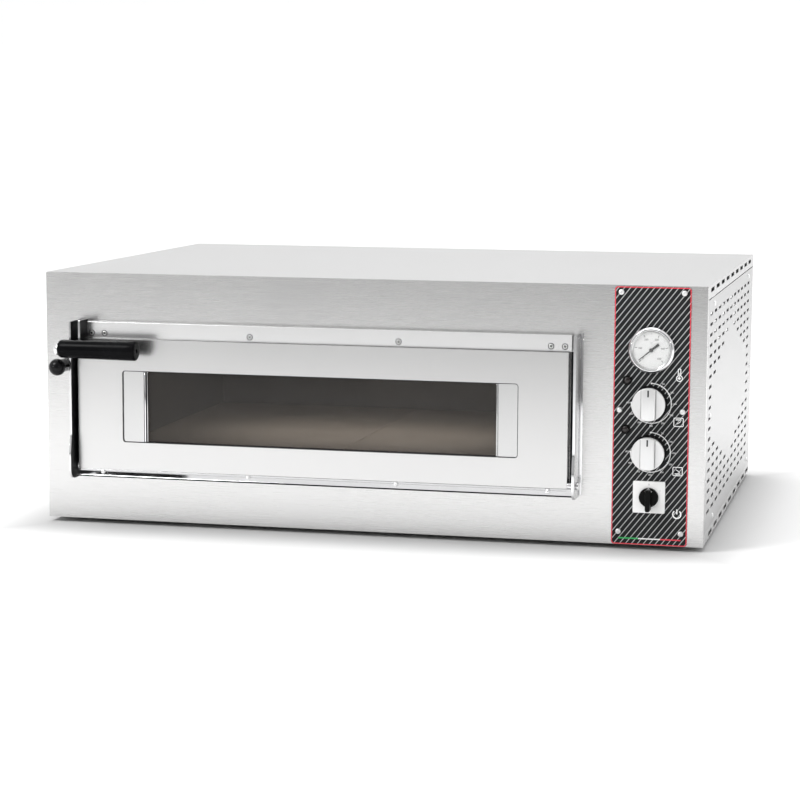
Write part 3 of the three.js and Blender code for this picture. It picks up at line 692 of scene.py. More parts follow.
def boolean_cut(target, cutter):
    """target minus cutter, both bmesh in mm; returns a new bmesh."""
    obs = []
    for nm, b in (("cut_a", target), ("cut_b", cutter)):
        me = bpy.data.meshes.new(nm)
        bmesh.ops.recalc_face_normals(b, faces=b.faces)
        b.to_mesh(me)
        b.free()
        o = bpy.data.objects.new(nm, me)
        COL.objects.link(o)
        obs.append(o)
    mod = obs[0].modifiers.new("cut", "BOOLEAN")
    mod.object = obs[1]
    mod.operation = "DIFFERENCE"
    mod.solver = "EXACT"
    bpy.context.view_layer.update()
    dg = bpy.context.evaluated_depsgraph_get()
    me = bpy.data.meshes.new_from_object(obs[0].evaluated_get(dg))
    out = bmesh.new()
    out.from_mesh(me)
    bpy.data.meshes.remove(me)
    for o in obs:
        d = o.data
        bpy.data.objects.remove(o)
        bpy.data.meshes.remove(d)
    return out


# ------------------------------------------------------------- fasteners
def cross_cutter(r, depth, top_z):
    """A tapered four-point recess about Z: one star-shaped solid opening at top_z."""
    bm = bmesh.new()
    rings = []
    for z, lx, w in ((top_z + 0.4, r, r * 0.22), (top_z - depth, r * 0.5, r * 0.13)):
        pts = []
        for k in range(4):
            a = math.radians(90 * k + 20)
            c, q = math.cos(a), math.sin(a)
            for u, v in ((w, -w), (lx, -w), (lx, w)):
                pts.append(bm.verts.new((u * c - v * q, u * q + v * c, z)))
        rings.append(pts)
    n = len(rings[0])
    for i in range(n):
        j = (i + 1) % n
        bm.faces.new((rings[0][i], rings[0][j], rings[1][j], rings[1][i]))
    bm.faces.new(rings[0])
    bm.faces.new(rings[1])
    bmesh.ops.recalc_face_normals(bm, faces=bm.faces)
    return bm


def screw_proto(kind, r):
    bm = bmesh.new()
    if kind == "pan":
        h = r * 0.62
        pts = [(-3.0, r * 0.42), (0.0, r * 0.42), (0.0, r)]
        for i in range(1, 9):
            a = math.radians(90 * i / 8)
            pts.append((h * math.sin(a) ** 0.9, r * math.cos(a) ** 0.55 if i < 8 else 0.0))
    else:
        pts = [(-3.0, r * 0.42), (-r * 0.45, r * 0.42), (-0.05, r * 0.94), (0.05, r)]
        for i in range(1, 6):
            a = math.radians(90 * i / 5)
            pts.append((0.05 + r * 0.16 * math.sin(a), r * math.cos(a) if i < 5 else 0.0))
    lathe(bm, pts, "Z", (0, 0), 32)
    top = max(v.co.z for v in bm.verts)
    out = boolean_cut(bm, cross_cutter(r * 0.55, r * 0.4, top))
    me = bpy.data.meshes.new("proto_" + kind)
    out.to_mesh(me)
    out.free()
    return me


PROTO = {}


def screw(name, kind, r, pos, direction, body, turn=0.0):
    """A screw whose head faces along direction, seated at pos (mm)."""
    key = (kind, r)
    if key not in PROTO:
        PROTO[key] = screw_proto(kind, r)
    bm = bmesh.new()
    bm.from_mesh(PROTO[key])
    q = Vector((0, 0, 1)).rotation_difference(Vector(direction)).to_matrix().to_4x4()
    bm.transform(Matrix.Translation(pos) @ q @ Matrix.Rotation(math.radians(turn), 4, "Z"))
    return finish_piece(name, bm, "screw", body, slot="stainless_polished", sharp=38)


# ================================================================= case
refine("front_panel", "front", 0.4, 2)
refine("top_cover", "case", 0.4, 2)
refine("base_tray", "case", 0.35, 2)
refine("rear_panel", "rear", 0.35, 2)

VENT_ROWS = [20, 7, 6, 5, 4, 3, 4, 5, 6, 7, 20]


def side_panel(name, x0, x1):
    lo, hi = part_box(name)
    y0, y1 = (lo.y - SY) * 1000, (hi.y - SY) * 1000
    z0, z1 = (lo.z - SZ) * 1000, (hi.z - SZ) * 1000
    holes = []
    for c, n in enumerate(VENT_ROWS):
        for r in range(20):
            if r < n or r >= 20 - n:
                holes.append(stadium(60 + 65 * c, 366 - r * 16.74, 36, 5, 5))
    plate(name + "_finished", "side", "oven", [(y0, z0), (y1, z0), (y1, z1), (y0, z1)], holes, "YZ", x0, x1, [name])


side_panel("right_side_panel", 548.5, 550)
side_panel("left_side_panel", -550, -548.5)

for side, x, d in (("right", 550.0, 1), ("left", -550.0, -1)):
    for i, (y, z) in enumerate(((98, 379.5), (700, 379.5), (62, 203), (768, 205), (130, 30), (745, 30))):
        screw(f"{side}_side_screw_{i + 1}", "pan", 4.0, (x, y, z), (d, 0, 0), "oven", 17 * i)
for i, (x, z) in enumerate(((-530, 395), (-180, 400), (180, 400), (530, 395), (-530, 18), (-180, 12), (180, 12), (530, 18))):
    screw(f"rear_screw_{i + 1}", "pan", 4.0, (x, 800, z), (0, 1, 0), "oven", 23 * i)

for n in ("foot_front_left", "foot_front_right", "foot_rear_left", "foot_rear_right"):
    lo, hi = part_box(n)
    cx, cy = (lo.x + hi.x) * 500, ((lo.y + hi.y) / 2 - SY) * 1000
    prof = fillet([(-8, 0), (-8, 20), (-0.3, 17.5), (-0.3, 4), (6, 4), (6, 0)], [0, 1.4, 1.2, 0.2, 0.5, 0], 4)
    # a shallow cup under the foot
    prof = [(-6.8, 0), (-6.8, 12), (-8, 13.5)] + prof[1:]
    turned(n + "_finished", "rubber", "oven", prof, "Z", (cx, cy), [n], 56)

# cheeks each side of the door; the left cheek's faces turned to +X are near-black, painted shade
for n, sm in (("hinge_cheek_left", "painted_shade_black"), ("hinge_cheek_right", "retainer")):
    refine(n, "polished", 0.4, 2, side_mat=sm)

# near-black strips on the front panel behind the gaps each side of the door: painted shade
for nm, x0, x1 in (("left", -490.8, -487.2), ("right", 336.3, 339.8)):
    bm = bmesh.new()
    block_bm(bm, (x0, -1.7, 96), (x1, -0.3, 305), 0.3, 1)
    finish_piece(f"door_gap_painted_shade_{nm}", bm, "painted_shade_black", "oven", slot="foot_rubber", sharp=40)
for nm, x0, x1 in (("left", -497.2, -494.1), ("right", 350.6, 355.4)):
    bm = bmesh.new()
    block_bm(bm, (x0, -1.8, 76), (x1, -0.3, 334.6), 0.5, 2)
    finish_piece(f"cheek_flange_{nm}", bm, "polished", "oven", slot="stainless_polished", sharp=40)

# ============================================================== chamber
refine("chamber_liner", "liner", 0.3, 1)
refine("stone_left", "stone", 1.2, 2)
refine("stone_right", "stone", 1.2, 2)
refine("stone_support_rail", "liner", 0.4, 1)
refine("insulation_jacket", "wool", 1.5, 2)
refine("flue_duct", "zinc", 0.3, 1)
refine("flue_outlet", "zinc", 0.4, 2)
refine("vent_rod_guide", "inner_painted_shade_zinc", 0.3, 1)
refine("chamber_support_front", "inner_painted_shade_zinc", 0.3, 1)
refine("chamber_support_rear", "inner_painted_shade_zinc", 0.3, 1)
refine("control_partition", "inner_painted_shade_zinc", 0.3, 1)


def heater(node, z):
    pts = [(352, 100)]
    ys = [100, 200, 300, 400, 500, 600]
    for k, y in enumerate(ys):
        if k == len(ys) - 1:
            pts.append((352, y))
            break
        left = k % 2 == 0
        cx, s = (-390, -1) if left else (240, 1)
        for i in range(17):
            a = -math.pi / 2 + math.pi * i / 16
            pts.append((cx + s * 50 * math.cos(a), y + 50 + 50 * math.sin(a)))
    bm = bmesh.new()
    rings = []
    n = 14
    for i, p in enumerate(pts):
        a = Vector(pts[max(0, i - 1)])
        b = Vector(pts[min(len(pts) - 1, i + 1)])
        d = (b - a).normalized()
        side = Vector((-d.y, d.x, 0))
        rings.append([bm.verts.new(Vector((p[0], p[1], z)) + side * 4 * math.cos(2 * math.pi * j / n) + Vector((0, 0, 4 * math.sin(2 * math.pi * j / n)))) for j in range(n)])
    for a, b in zip(rings, rings[1:]):
        for j in range(n):
            bm.faces.new((a[j], a[(j + 1) % n], b[(j + 1) % n], b[j]))
    bm.faces.new(rings[0])
    bm.faces.new(rings[-1])
    finish_piece(node + "_finished", bm, "element", "oven", [node], sharp=50)


heater("heating_element_top", 276)
heater("heating_element_bottom", 86)
for n, z in (("thermostat_probe_top", 276), ("thermostat_probe_bottom", 86)):
    turned(n + "_finished", "polished", "oven", fillet([(262, 0), (262, 3), (352, 3), (352, 2), (356, 2), (356, 0)], [0, 2.2, 0.5, 0.2, 0.3, 0], 4), "X", (350, z), [n], 28)

# ============================================================= controls
CP = (404.0, 524.5, 0.5, 411.0)
PY = -1.8  # front of the overlay
TH = (463.3, 311.7)
KX, K1, K2 = 462.5, 227.7, 149.6
SW = (463.6, 78.0)
LAMPS = ((426, 262.9), (424.3, 184.9))
holes = [circle(*TH, 30.8, 64), circle(*LAMPS[0], 4.7, 24), circle(*LAMPS[1], 4.7, 24), circle(KX, K1, 6, 24), circle(KX, K2, 6, 24), circle(*SW, 6, 24)]
plate("control_panel_finished", "overlay", "oven", rrect(*CP, 5, 8), holes, "XZ", -0.3, PY, ["control_panel"], bevel=0.15, segs=1)

INK0, INK1 = PY - 0.08, PY + 0.02


def ink(name, mat, build, body="oven"):
    bm = bmesh.new()
    build(bm)
    return finish_piece(name, bm, mat, body, slot="white_plastic" if mat == "ink_white" else "control_overlay", sharp=40)


def frame_line(bm):
    x0, x1, z0, z1 = CP
    e = 0.25
    plate_bm(bm, rrect(x0 + e, x1 - e, z0 + e, z1 - e, 4.9, 8), [rrect(x0 + 1.7, x1 - 1.7, z0 + 1.7, z1 - 1.7, 3.6, 8)], "XZ", INK1, INK0)


ink("panel_edge_line", "ink_red", frame_line)


def heat_scale(bm, cx, cz):
    R = 31.6
    ribbon_bm(bm, arc_pts(cx, cz, R, 90, -180, 90), 1.35, INK0, INK1)
    dot_bm(bm, cx, cz + R, 1.5, INK0 - 0.01, INK1, 18)
    dot_bm(bm, cx - R, cz, 1.5, INK0 - 0.01, INK1, 18)
    for k in range(1, 10):
        a = 90 - 30 * k
        c, s = math.cos(math.radians(a)), math.sin(math.radians(a))
        if k < 9:
            ribbon_bm(bm, [(cx + (R - 1.7) * c, cz + (R - 1.7) * s), (cx + (R + 1.7) * c, cz + (R + 1.7) * s)], 0.8, INK0 - 0.01, INK1)
        text_bm(bm, str(50 * k), 3.8, cx + (R + 5.4) * c, cz + (R + 4.4) * s, INK0, INK1)


ink("top_heat_scale", "ink_white", lambda bm: heat_scale(bm, KX + 1.9, K1 - 0.2))
ink("bottom_heat_scale", "ink_white", lambda bm: heat_scale(bm, KX + 1.9, K2 - 0.2))


def heat_sign(bm, x, z, top):
    h, v = 7.4, 6.6
    ribbon_bm(bm, rrect(x - h, x + h, z - v, z + v, 1.4, 3), 1.3, INK0, INK1, True)
    q = 1 if top else -1
    ribbon_bm(bm, [(x - 4.6, z + q * 3.9), (x + 4.6, z + q * 3.9)], 1.7, INK0, INK1)
    ribbon_bm(bm, [(x + 3.6, z + q * 1.6), (x + 0.6, z - q * 1.0), (x - 2.6, z - q * 2.8)], 1.1, INK0, INK1)


ink("top_heat_sign", "ink_white", lambda bm: heat_sign(bm, 507.9, 198.9, True))
ink("bottom_heat_sign", "ink_white", lambda bm: heat_sign(bm, 507.9, 120.6, False))


def thermo_sign(bm):
    x, z = 507.9, 273.9
    pts = arc_pts(x, z - 5.6, 4.6, 115, 425, 24)
    pts = pts + arc_pts(x, z + 7.6, 2.0, 0, 180, 8)
    ribbon_bm(bm, pts, 1.35, INK0, INK1, True)
    dot_bm(bm, x, z - 5.6, 2.0, INK0, INK1)
    ribbon_bm(bm, [(x, z - 5.0), (x, z + 3.0)], 1.0, INK0, INK1)


ink("thermometer_sign", "ink_white", thermo_sign)


def power_sign(bm):
    x, z = 508, 52.0
    ribbon_bm(bm, arc_pts(x, z, 6.4, 128, 412, 34), 2.0, INK0, INK1)
    ribbon_bm(bm, [(x, z + 0.2), (x, z + 8.2)], 2.0, INK0, INK1)


ink("power_sign", "ink_white", power_sign)
for nm, mt, x0, x1 in (("base_line_left", "ink_green", 415.4, 447.3), ("base_line_middle", "ink_white", 447.3, 482.3), ("base_line_right", "ink_red", 482.3, 514.9)):
    ink(nm, mt, lambda bm, x0=x0, x1=x1: ribbon_bm(bm, [(x0, 10.5), (x1, 10.5)], 2.0, INK0, INK1))

for i, (x, z) in enumerate(((414.4, 402), (513.5, 402), (414.3, 215.3), (513.8, 215.4), (415.2, 20.9), (514.4, 20.8))):
    screw(f"panel_screw_{i + 1}", "pan", 4.5, (x, PY, z), (0, -1, 0), "oven", 31 * i)

# thermometer
prof = [(28, 0), (28, 30), (-2.1, 30), (-2.1, 36.5), (-5.6, 36.5), (-8.9, 33.4), (-8.9, 31.4), (-8.2, 31.0), (-8.2, 32.6), (-3.6, 32.6), (-3.6, 0)]
turned("thermometer_case_finished", "polished", "oven", fillet(prof, [0, 1, 0, 0.8, 2.2, 1.1, 0.3, 0.1, 0, 0, 0], 5), "Y", TH, ["thermometer_case"], 96)
turned("thermometer_dial_finished", "dial", "oven", [(-3.9, 0), (-3.9, 32.2), (-4.7, 32.2), (-4.7, 0)], "Y", TH, ["thermometer_dial"], 96)
turned("thermometer_glass_finished", "clear", "oven", fillet([(-7.4, 0), (-7.4, 32.2), (-8.1, 32.2), (-8.6, 29), (-8.6, 0)], [0, 0.2, 0.2, 1, 0], 3), "Y", TH, ["thermometer_glass"], 96)


def dial_print(bm):
    cx, cz = TH
    y0, y1 = -4.78, -4.68
    for k in range(6):
        a = 225 - 54 * k
        c, s = math.cos(math.radians(a)), math.sin(math.radians(a))
        ribbon_bm(bm, [(cx + 22.6 * c, cz + 22.6 * s), (cx + 26.6 * c, cz + 26.6 * s)], 0.8, y0, y1)
        text_bm(bm, str(100 * k), 4.3, cx + 18.0 * c, cz + 18.6 * s, y0, y1)
    for k in range(5, 50, 10):
        a = 225 - 5.4 * k
        c, s = math.cos(math.radians(a)), math.sin(math.radians(a))
        ribbon_bm(bm, [(cx + 25.2 * c, cz + 25.2 * s), (cx + 26.6 * c, cz + 26.6 * s)], 0.4, y0, y1)


def dial_arc(bm):
    ribbon_bm(bm, arc_pts(*TH, 27.9, 225, -45, 80), 0.3, -4.77, -4.68)
    text_bm(bm, "°C", 4.2, TH[0], TH[1] + 10.5, -4.77, -4.68)


ink("dial_figures", "ink_black", dial_print)
ink("dial_ring", "ink_grey", dial_arc)
turned("dial_rim", "dial_rim", "oven", [(-7.3, 32.1), (-4.8, 28.9), (-4.72, 28.9), (-4.72, 32.1), (-7.3, 32.1)], "Y", TH, seg=96, slot="stainless_polished")


def needle():
    bm = bmesh.new()
    cx, cz = TH
    a = math.radians(-141)
    shape = [(-15.2, -2.1), (-15.2, 2.1), (-4.4, 1.8), (-2.4, 1.1), (25.5, 0.42), (25.5, -0.42), (-2.4, -1.1), (-4.4, -1.8)]
    pts = [(cx + u * math.cos(a) - v * math.sin(a), cz + u * math.sin(a) + v * math.cos(a)) for u, v in shape]
    plate_bm(bm, pts, [], "XZ", -5.5, -6.1)
    lathe(bm, fillet([(-5.1, 0), (-5.1, 3.2), (-6.4, 3.2), (-6.9, 2.2), (-6.9, 0)], [0, 0.1, 0.5, 0.4, 0], 3), "Y", TH, 32)
    finish_piece("thermometer_needle_finished", bm, "needle", "thermometer_pointer", ["thermometer_needle"], sharp=35)


needle()

# heat knobs
for n, z in (("top", K1), ("bottom", K2)):
    b = f"{n}_heat_control"
    prof = [(-2.2, 0), (-2.2, 27.7), (-6.0, 27.7), (-7.6, 26.3), (-19.9, 26.1), (-19.9, 0)]
    prof = fillet(prof, [0, 0.3, 1.0, 0.8, 0.4, 0], 4)
    prof = [(-16, 0), (-16, 3.3), (-2.2, 3.3)] + prof[1:]
    bm = bmesh.new()
    lathe(bm, prof, "Y", (KX, z), 96)
    finish_piece(f"{n}_heat_knob_finished", bm, "bakelite", b, [f"{n}_heat_knob"], sharp=32)
    # silver cap: a disc with a broad raised bar; the grooves each side of the bar are painted shade, below
    bm = bmesh.new()
    lathe(bm, fillet([(-20.3, 0), (-20.3, 26.2), (-22.6, 26.2), (-22.6, 24.0), (-22.2, 0)], [0, 0.2, 0.9, 0.2, 0], 4), "Y", (KX, z), 96)
    R, hw = 25.9, 11.0
    th = math.acos(hw / R)
    outline = [(KX + R * math.cos(th + (math.pi - 2 * th) * i / 24), z + R * math.sin(th + (math.pi - 2 * th) * i / 24)) for i in range(25)]
    outline += [(2 * KX - x, 2 * z - q) for x, q in outline]
    b2 = bmesh.new()
    plate_bm(b2, outline, [], "XZ", -21.5, -28.0)
    bmesh.ops.recalc_face_normals(b2, faces=b2.faces)
    bmesh.ops.dissolve_limit(b2, angle_limit=math.radians(0.4), verts=b2.verts, edges=b2.edges, use_dissolve_boundaries=False)
    rim = [e for e in b2.edges if all(abs(v.co.y + 28.0) < 1e-4 for v in e.verts)]
    bmesh.ops.bevel(b2, geom=rim, offset=1.5, segments=4, profile=0.5, affect="EDGES", clamp_overlap=True)
    join_bm(bm, b2)
    finish_piece(f"{n}_heat_knob_face_finished", bm, "cap", b, [f"{n}_heat_knob_face"], sharp=32)
    # pointer line let into the bar, and thin grey strips at its foot: painted shade for the grooves
    bm = bmesh.new()
    plate_bm(bm, rrect(KX - 1.25, KX + 1.25, z + 12.5, z + 23.0, 0.5, 3), [], "XZ", -27.7, -28.08)
    finish_piece(f"{n}_heat_pointer_mark", bm, "ink_black", b, slot="needle_black", sharp=40)
    bm = bmesh.new()
    for s in (-1, 1):
        x = KX + s * (hw + 0.75)
        half = math.sqrt(R * R - (hw + 1.5) ** 2) - 0.6
        block_bm(bm, (x - 0.55, -22.75, z - half), (x + 0.55, -22.3, z + half), 0.1, 1)
    finish_piece(f"{n}_heat_knob_painted_groove_shade", bm, "ink_grey", b, slot="knob_cap", sharp=40)
    refine(f"thermostat_body_{n}", "zinc", 0.4, 2)

# main switch
refine("switch_plate", "white", 0.7, 3)
refine("switch_body", "nylon", 0.5, 2)


def switch_marks(bm):
    text_bm(bm, "0", 4.2, SW[0], SW[1] + 20.3, -5.08, -4.98)
    text_bm(bm, "1", 4.2, SW[0] + 17.6, SW[1] + 11.0, -5.08, -4.98)


ink("switch_figures", "ink_grey", switch_marks)


def switch_knob():
    bm = bmesh.new()
    prof = fillet([(-5.3, 3.3), (-5.3, 15.5), (-10.6, 15.3), (-11.5, 12.5), (-11.5, 0)], [0, 0.3, 1.2, 0.6, 0], 5)
    prof = [(-12.4, 0), (-12.4, 3.3)] + prof
    # solid core instead of a through bore
    prof = fillet([(-5.3, 0), (-5.3, 15.5), (-10.6, 15.3), (-11.5, 12.5), (-11.5, 0)], [0, 0.3, 1.2, 0.6, 0], 5)
    lathe(bm, prof, "Y", SW, 72)
    b2 = bmesh.new()
    top = [(-4.5, 13.5), (4.5, 13.5), (4.5, -18.0), (3.0, -21.0), (-3.0, -21.0), (-4.5, -18.0)]
    plate_bm(b2, [(SW[0] + x, SW[1] + z) for x, z in top], [], "XZ", -10.5, -24.0)
    bmesh.ops.recalc_face_normals(b2, faces=b2.faces)
    for v in b2.verts:  # the grip narrows a little towards the hand
        if v.co.y < -20:
            v.co.x = SW[0] + (v.co.x - SW[0]) * 0.86
    bmesh.ops.dissolve_limit(b2, angle_limit=math.radians(0.4), verts=b2.verts, edges=b2.edges, use_dissolve_boundaries=False)
    rim = [e for e in b2.edges if all(v.co.y < -11 for v in e.verts) or (abs(e.verts[0].co.y - e.verts[1].co.y) > 5)]
    bmesh.ops.bevel(b2, geom=rim, offset=1.1, segments=4, profile=0.5, affect="EDGES", clamp_overlap=True)
    join_bm(bm, b2)
    finish_piece("main_switch_knob_finished", bm, "switch_black", "main_switch_control", ["main_switch_knob"], sharp=34)
    bm = bmesh.new()
    x, z = SW
    ribbon_bm(bm, [(x - 5.2, z + 9.6), (x, z + 14.9), (x + 5.2, z + 9.6)], 1.7, -11.75, -11.3)
    finish_piece("main_switch_chevron", bm, "screw", "main_switch_control", slot="knob_cap", sharp=40)


switch_knob()

for (x, z), n in zip(LAMPS, ("pilot_lamp_top", "pilot_lamp_bottom")):
    prof = [(22, 0), (22, 4.2), (-2.1, 4.2), (-2.1, 5.4)] + [(-2.9 - 2.1 * math.sin(math.radians(a)), 5.2 * math.cos(math.radians(a))) for a in (0, 15, 30, 45, 60, 75)] + [(-5.0, 0)]
    turned(n + "_finished", "lamp", "oven", prof, "Y", (x, z), [n], 40, 40)

for i, (x, z) in enumerate(LAMPS):
    turned(f"lamp_surround_{i + 1}", "switch_black", "oven", fillet([(-1.85, 5.6), (-1.85, 7.9), (-2.5, 7.7), (-2.9, 5.7), (-1.85, 5.6)], [0, 0.1, 0.3, 0.2, 0], 3), "Y", (x, z), seg=40, slot="black_bakelite")

refine("terminal_block", "terminal", 0.5, 1)
turned("cable_gland_finished", "nylon", "oven", [(788, 5), (788, 9), (800.3, 9), (800.3, 13)] + fillet([(800.3, 13), (808, 13), (812, 9.5), (812, 5)], [0, 0.6, 1.4, 0], 4)[1:] + [(788, 5)], "Y", (480, 40), ["cable_gland"], 36, 35)

# ================================================================= door
refine("door_skin", "door", 0.7, 3)
refine("door_inner_panel", "door", 0.25, 1)
refine("door_top_strip", "strip", 0.5, 2)
lip = [(-25.3, 88.6), (-25.9, 88.4), (-26.1, 85.3), (-26.6, 84.7), (-31.6, 79.9), (-32.0, 79.2), (-31.8, 78.9), (-16, 78.7), (-16, 80.2), (-29.4, 80.5), (-25.3, 84.2)]
plate("door_bottom_lip_finished", "polished", "door", lip, [], "YZ", -487.0, 345.9, ["door_bottom_lip"], sharp=25)
# near-black strip along the lip's lower front edge: painted shadow under the lip
bm = bmesh.new()
block_bm(bm, (-486.8, -31.9, 76.6), (345.7, -17, 78.7), 0.3, 1)
finish_piece("lip_painted_shadow", bm, "painted_shade_black", "door", slot="black_bakelite", sharp=40)
bm = bmesh.new()
block_bm(bm, (-486.4, -26.15, 85.2), (335.4, -25.4, 85.75), 0.1, 1)
finish_piece("lip_joint_line", bm, "ink_grey", "door", slot="black_bakelite", sharp=40)
# dark band round the window cut-out, painted shade at the cut edge; and the folded inner edges of the two glass
# retainers, whose dark groove and edge strips are painted shade
WX0, WX1, WZ0, WZ1 = -408.5, 256, 135, 254.5
plate("window_edge_painted_shade", "recess", "door", rrect(WX0 + 0.02, WX1 - 0.02, WZ0 + 0.02, WZ1 - 0.02, 5, 8), [rrect(WX0 + 1.15, WX1 - 1.15, WZ0 + 1.15, WZ1 - 1.15, 4, 8)], "XZ", -22.75, -24.6, slot="black_bakelite")
for nm, x0, x1, mt in (("left_groove_painted_shade", -371.9, -370.6, "painted_shade_black"), ("left_fold", -370.6, -368.6, "polished"), ("left_edge_painted_shade", -368.6, -366.2, "painted_shade_black"), ("left_rim", -366.2, -364.9, "retainer"),
                       ("right_groove_painted_shade", 222.9, 223.7, "recess"), ("right_rim", 220.4, 221.9, "retainer")):
    bm = bmesh.new()
    block_bm(bm, (x0, -23.0 if mt == "polished" else -22.75, 124.5), (x1, -20.7, 264.5), 0.3, 2)
    finish_piece("retainer_" + nm, bm, mt, "door", slot="stainless_polished", sharp=40)
refine("window_glass", "glass", 0.4, 1)
refine("glass_retainer_left", "retainer", 0.25, 1)
refine("glass_retainer_right", "retainer", 0.25, 1)
tip = [(-60 + 8 * math.cos(math.pi / 2 + math.pi * i / 12), 291.6 + 8 * math.sin(math.pi / 2 + math.pi * i / 12)) for i in range(13)]
bracket = [(-43, 336.4), (-43, 299.6), *tip, (-43, 283.6), (-40, 278), (-25.4, 278), (-25.4, 306.4), (-5, 306.4), (-5, 337), (-42.4, 337)]
plate("handle_bracket_finished", "polished", "door", bracket, [circle(-60, 291.6, 5.3, 32)], "YZ", -478, -474.3, ["handle_bracket"], bevel=0.35, side_mat="painted_shade_black")
PIV = (-20, 93)
turned("door_pivot_left_finished", "polished", "door",
       fillet([(-497.4, 0), (-497.4, 6.0), (-494.3, 6.5), (-494.3, 4), (-490.7, 4), (-490.7, 6), (-486.3, 6), (-486.3, 4), (-480, 4), (-480, 0)],
              [0, 1.0, 0.3, 0, 0, 0.5, 0.5, 0, 0.4, 0], 4), "X", PIV, ["door_pivot_left"], 48)
turned("door_pivot_right_finished", "polished", "door",
       fillet([(330, 0), (330, 4), (335.8, 4), (335.8, 6), (346.2, 6), (346.2, 4), (350.8, 4), (350.8, 6.5), (353.9, 6.0), (353.9, 0)],
              [0, 0.4, 0, 0.5, 0.5, 0, 0, 0.3, 1.0, 0], 4), "X", PIV, ["door_pivot_right"], 48)
# a dark ring round each strip screw's head and a dark cross over its recess: painted shade
for i, x in enumerate((-465, -442.7, -191.8, 57.7, 305.7, 328)):
    bm = bmesh.new()
    plate_bm(bm, circle(x, 314.6, 5.1, 32), [circle(x, 314.6, 3.6, 32)], "XZ", -13.6, -14.25)
    finish_piece(f"strip_screw_painted_ring_shade_{i + 1}", bm, "recess", "door", slot="black_bakelite", sharp=40)
    screw(f"strip_screw_{i + 1}", "sunk", 3.8, (x, -14.1, 314.6), (0, -1, 0), "door", 11 * i)
    bm = bmesh.new()
    for k in range(2):
        b2 = bmesh.new()
        block_bm(b2, (-2.4, -14.95 - 0.01 * k, -0.95), (2.4, -14.4, 0.95), 0.15, 1)
        join_bm(bm, b2, Matrix.Translation((x, 0, 314.6)) @ Matrix.Rotation(math.radians(90 * k + 11 * i + 20), 4, "Y"))
    finish_piece(f"strip_screw_painted_cross_shade_{i + 1}", bm, "recess", "door", slot="black_bakelite", sharp=40)
for i, x in enumerate((-442.7, -191.8, 57.7, 305.7)):
    screw(f"lip_screw_{i + 1}", "pan", 3.4, (x, -27.6, 84.6), (0, -0.94, 0.35), "door", 19 * i)

GC = (-60, 291.6)
prof = [(-513.0, 0)] + [(-504.6 - 8.4 * math.sin(math.radians(a)), 11.3 * math.cos(math.radians(a)) ** 0.8) for a in (78, 66, 54, 42, 30, 18, 8, 0)] + [(-504.2, 10.8), (-504.2, 5), (-376, 5), (-376, 0)]
turned("handle_rod_finished", "polished", "door", prof, "X", GC, ["handle_rod"], 64, 30)


def grip():
    bm = bmesh.new()
    prof = [(-503.9, 5.4), (-503.9, 11.6), (-502.6, 13.6), (-500.5, 14.6), (-497, 15.0)]
    for i in range(1, 13):
        t = i / 12
        prof.append((-497 + t * (123.5), 15.0 + 1.45 * t ** 0.9))
    prof += [(-372.2, 16.1), (-371.0, 15.3), (-370.2, 14.0), (-370.0, 12.4), (-370.0, 4.2), (-370.6, 3.4), (-372.5, 3.0), (-372.5, 0)]
    lathe(bm, [(-375.4, 0), (-375.4, 5.4)] + prof, "X", GC, 80)
    cut = bmesh.new()
    block_bm(cut, (-478.4, -68.4, GC[1] - 8.5), (-473.9, -30, GC[1] + 8.5), 0)
    out = boolean_cut(bm, cut)
    finish_piece("handle_grip_finished", out, "grip", "door", ["handle_grip"], sharp=35)


grip()

# ============================================================ vent pull
VX, VZ, BY, BR = -510, 260.3, -56, 14
a0 = math.degrees(math.asin(11 / BR))
ball = [(BY + BR * math.cos(math.radians(a0 + (180 - a0) * i / 26)), BR * math.sin(math.radians(a0 + (180 - a0) * i / 26))) for i in range(27)]
ball[-1] = (BY - BR, 0)
prof = [(-30, 0), (-30, 3.3), (2.8, 3.3), (2.8, 10.4), (2.2, 11), (ball[0][0] + 1.0, 11)] + ball
turned("vent_knob_finished", "ball", "vent_pull", prof, "Y", (VX, VZ), ["vent_knob"], 72, 40)
turned("vent_rod_finished", "polished", "vent_pull", fillet([(761, 0), (761, 4), (3.1, 4), (3.1, 3), (-29.5, 3), (-29.5, 0)], [0, 0.8, 0.3, 0, 0.4, 0], 3), "Y", (VX, VZ), ["vent_rod"], 32)
refine("damper_plate", "zinc", 0.3, 1)


